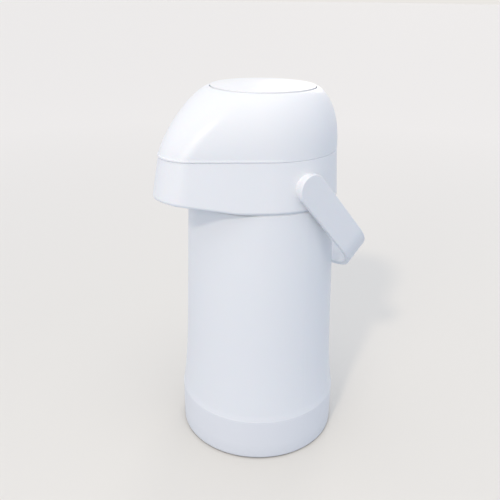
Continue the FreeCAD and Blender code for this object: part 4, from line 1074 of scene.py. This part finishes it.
@dataclass(frozen=True)
class Studio:
    """Pale floor, soft light and the camera at the photograph's angle.

    Attributes:
        floor_half: half the floor's side, in metres.
        floor_colour: sRGB hex colour of the floor by the pot.
        far_colour: sRGB hex colour of the floor further off.
        near_reach: distance from the pot where the floor begins to change, in metres.
        far_reach: distance from the pot where that colour is reached, in metres.
        floor_roughness: roughness of the floor.
        floor_gloss: level of the floor's reflection.
        bounce_colour: sRGB hex colour in which the floor lights the pot from below.
        backdrop_colour: sRGB hex colour seen above the floor's far edge.
        sky_colour: sRGB hex colour of the light from all round.
        sky_low: strength of that light at the horizon.
        sky_high: strength of that light overhead.
        eye_mm: place of the camera.
        facing_deg: way that the camera faces, about Z.
        pitch_deg: how far it looks down.
        roll_deg: how far it leans.
        lens_mm: focal length on a 36 mm wide sensor.
        near_clip: distance in metres below which the camera sees nothing.
        lamps: lamps besides the sky.
    """

    floor_half: float = 60.0
    floor_colour: str = "#e1ded7"
    far_colour: str = "#ece8e1"
    near_reach: float = 0.3
    far_reach: float = 1.4
    floor_roughness: float = 0.9
    floor_gloss: float = 0.1
    bounce_colour: str = "#b2bbc6"
    backdrop_colour: str = "#ebe8e4"
    sky_colour: str = "#e7ecf7"
    sky_low: float = 0.58
    sky_high: float = 1.28
    eye_mm: tuple[float, float, float] = (363.95, -272.75, 355.155)
    facing_deg: float = 54.2
    pitch_deg: float = 23.073
    roll_deg: float = 0.723
    lens_mm: float = 42.616
    near_clip: float = 0.01
    lamps: tuple[Lamp, ...] = (
        Lamp("key", way=(0.38, -0.68, 0.63), strength=0.64, spread_deg=5.0, colour="#fff0dc"),
        Lamp(
            "front", way=(0.4, -0.88, 0.25), strength=0.56, spread_deg=20.0, colour="#fff0dc",
            reach=0.8, beam_deg=70.0,
        ),
        Lamp(
            "overhead", way=(0.3, -0.12, 0.92), strength=0.36, spread_deg=40.0, colour="#fff2e0",
            reach=0.9,
        ),
        Lamp("back", way=(-0.6, 0.75, 0.35), strength=0.36, spread_deg=25.0, colour="#fff4e6"),
    )

    def build(self) -> None:
        """Set up the floor, the light and the camera."""
        self.floor()
        self.sky()
        for lamp in self.lamps:
            lamp.build()
        self.camera()
        bpy.context.scene.view_settings.view_transform = "Standard"

    def shown(self, tree: bpy.types.NodeTree) -> bpy.types.NodeSocket:
        """Tell the rays that show the background from the rays that only carry its light.

        Args:
            tree: node tree of the floor or the sky.

        Returns:
            A socket that is 1 for what is seen, mirrored or seen through.
        """
        rays = add_node(tree, "ShaderNodeLightPath", {}).outputs
        direct = add_node(tree, "ShaderNodeMath", {
            0: rays["Is Camera Ray"], 1: rays["Is Transmission Ray"],
        }, operation="MAXIMUM").outputs["Value"]
        return add_node(tree, "ShaderNodeMath", {
            0: direct, 1: rays["Is Glossy Ray"],
        }, operation="MAXIMUM").outputs["Value"]

    def floor(self) -> None:
        """Lay a plain pale floor."""
        half = self.floor_half
        mesh = bpy.data.meshes.new("floor")
        corners = [(-half, -half, 0), (half, -half, 0), (half, half, 0), (-half, half, 0)]
        mesh.from_pydata(corners, [], [(0, 1, 2, 3)])
        obj = bpy.data.objects.new("floor", mesh)
        bpy.context.scene.collection.objects.link(obj)
        material = bpy.data.materials.new("matt_painted_board")
        material.use_nodes = True
        tree = material.node_tree
        tree.nodes.clear()
        place = add_node(tree, "ShaderNodeTexCoord", {}).outputs["Object"]
        away = add_node(tree, "ShaderNodeVectorMath", {"Vector": place}, operation="LENGTH")
        share = add_node(tree, "ShaderNodeMapRange", {
            "Value": away.outputs["Value"],
            "From Min": self.near_reach,
            "From Max": self.far_reach,
            "To Min": 0.0,
            "To Max": 1.0,
        }).outputs["Result"]
        board = add_node(tree, "ShaderNodeMix", {
            "Factor": share, "A": linear(self.floor_colour), "B": linear(self.far_colour),
        }, data_type="RGBA").outputs["Result"]
        colour = add_node(tree, "ShaderNodeMix", {
            "Factor": self.shown(tree), "A": linear(self.bounce_colour), "B": board,
        }, data_type="RGBA").outputs["Result"]
        shader = add_node(tree, "ShaderNodeBsdfPrincipled", {
            "Base Color": colour,
            "Roughness": self.floor_roughness,
            "Specular IOR Level": self.floor_gloss,
        })
        add_node(tree, "ShaderNodeOutputMaterial", {"Surface": shader.outputs["BSDF"]})
        mesh.materials.append(material)

    def sky(self) -> None:
        """Light everything from a pale sky that is brighter overhead."""
        world = bpy.data.worlds.new("studio")
        bpy.context.scene.world = world
        world.use_nodes = True
        tree = world.node_tree
        tree.nodes.clear()
        way = add_node(tree, "ShaderNodeTexCoord", {}).outputs["Generated"]
        height = add_node(tree, "ShaderNodeSeparateXYZ", {"Vector": way}).outputs["Z"]
        strength = add_node(tree, "ShaderNodeMapRange", {
            "Value": height,
            "From Min": 0.0,
            "From Max": 1.0,
            "To Min": self.sky_low,
            "To Max": self.sky_high,
        }).outputs["Result"]
        light = add_node(tree, "ShaderNodeBackground", {
            "Color": linear(self.sky_colour), "Strength": strength,
        })
        plain = add_node(tree, "ShaderNodeBackground", {
            "Color": linear(self.backdrop_colour), "Strength": 1.0,
        })
        both = add_node(tree, "ShaderNodeMixShader", {
            0: self.shown(tree), 1: light.outputs["Background"], 2: plain.outputs["Background"],
        })
        add_node(tree, "ShaderNodeOutputWorld", {"Surface": both.outputs["Shader"]})

    def camera(self) -> None:
        """Place the camera where the photograph was taken from."""
        data = bpy.data.cameras.new("camera")
        data.lens = self.lens_mm
        data.clip_start = self.near_clip
        data.clip_end = 4 * self.floor_half
        obj = bpy.data.objects.new("camera", data)
        turn = Matrix.Rotation(math.radians(self.facing_deg), 4, "Z")
        tilt = Matrix.Rotation(math.radians(90.0 - self.pitch_deg), 4, "X")
        roll = Matrix.Rotation(math.radians(self.roll_deg), 4, "Z")
        obj.matrix_world = Matrix.Translation(Vector(self.eye_mm) * MM) @ turn @ tilt @ roll
        bpy.context.scene.collection.objects.link(obj)
        bpy.context.scene.camera = obj


def main() -> None:
    """Build and dress the pot, and set up the studio."""
    logging.basicConfig(level=logging.INFO, format="%(name)s: %(message)s")
    for part in (Pot(), Head(), Pump(), Bail()):
        part.build()
    Studio().build()


if __name__ == "__main__":
    main()
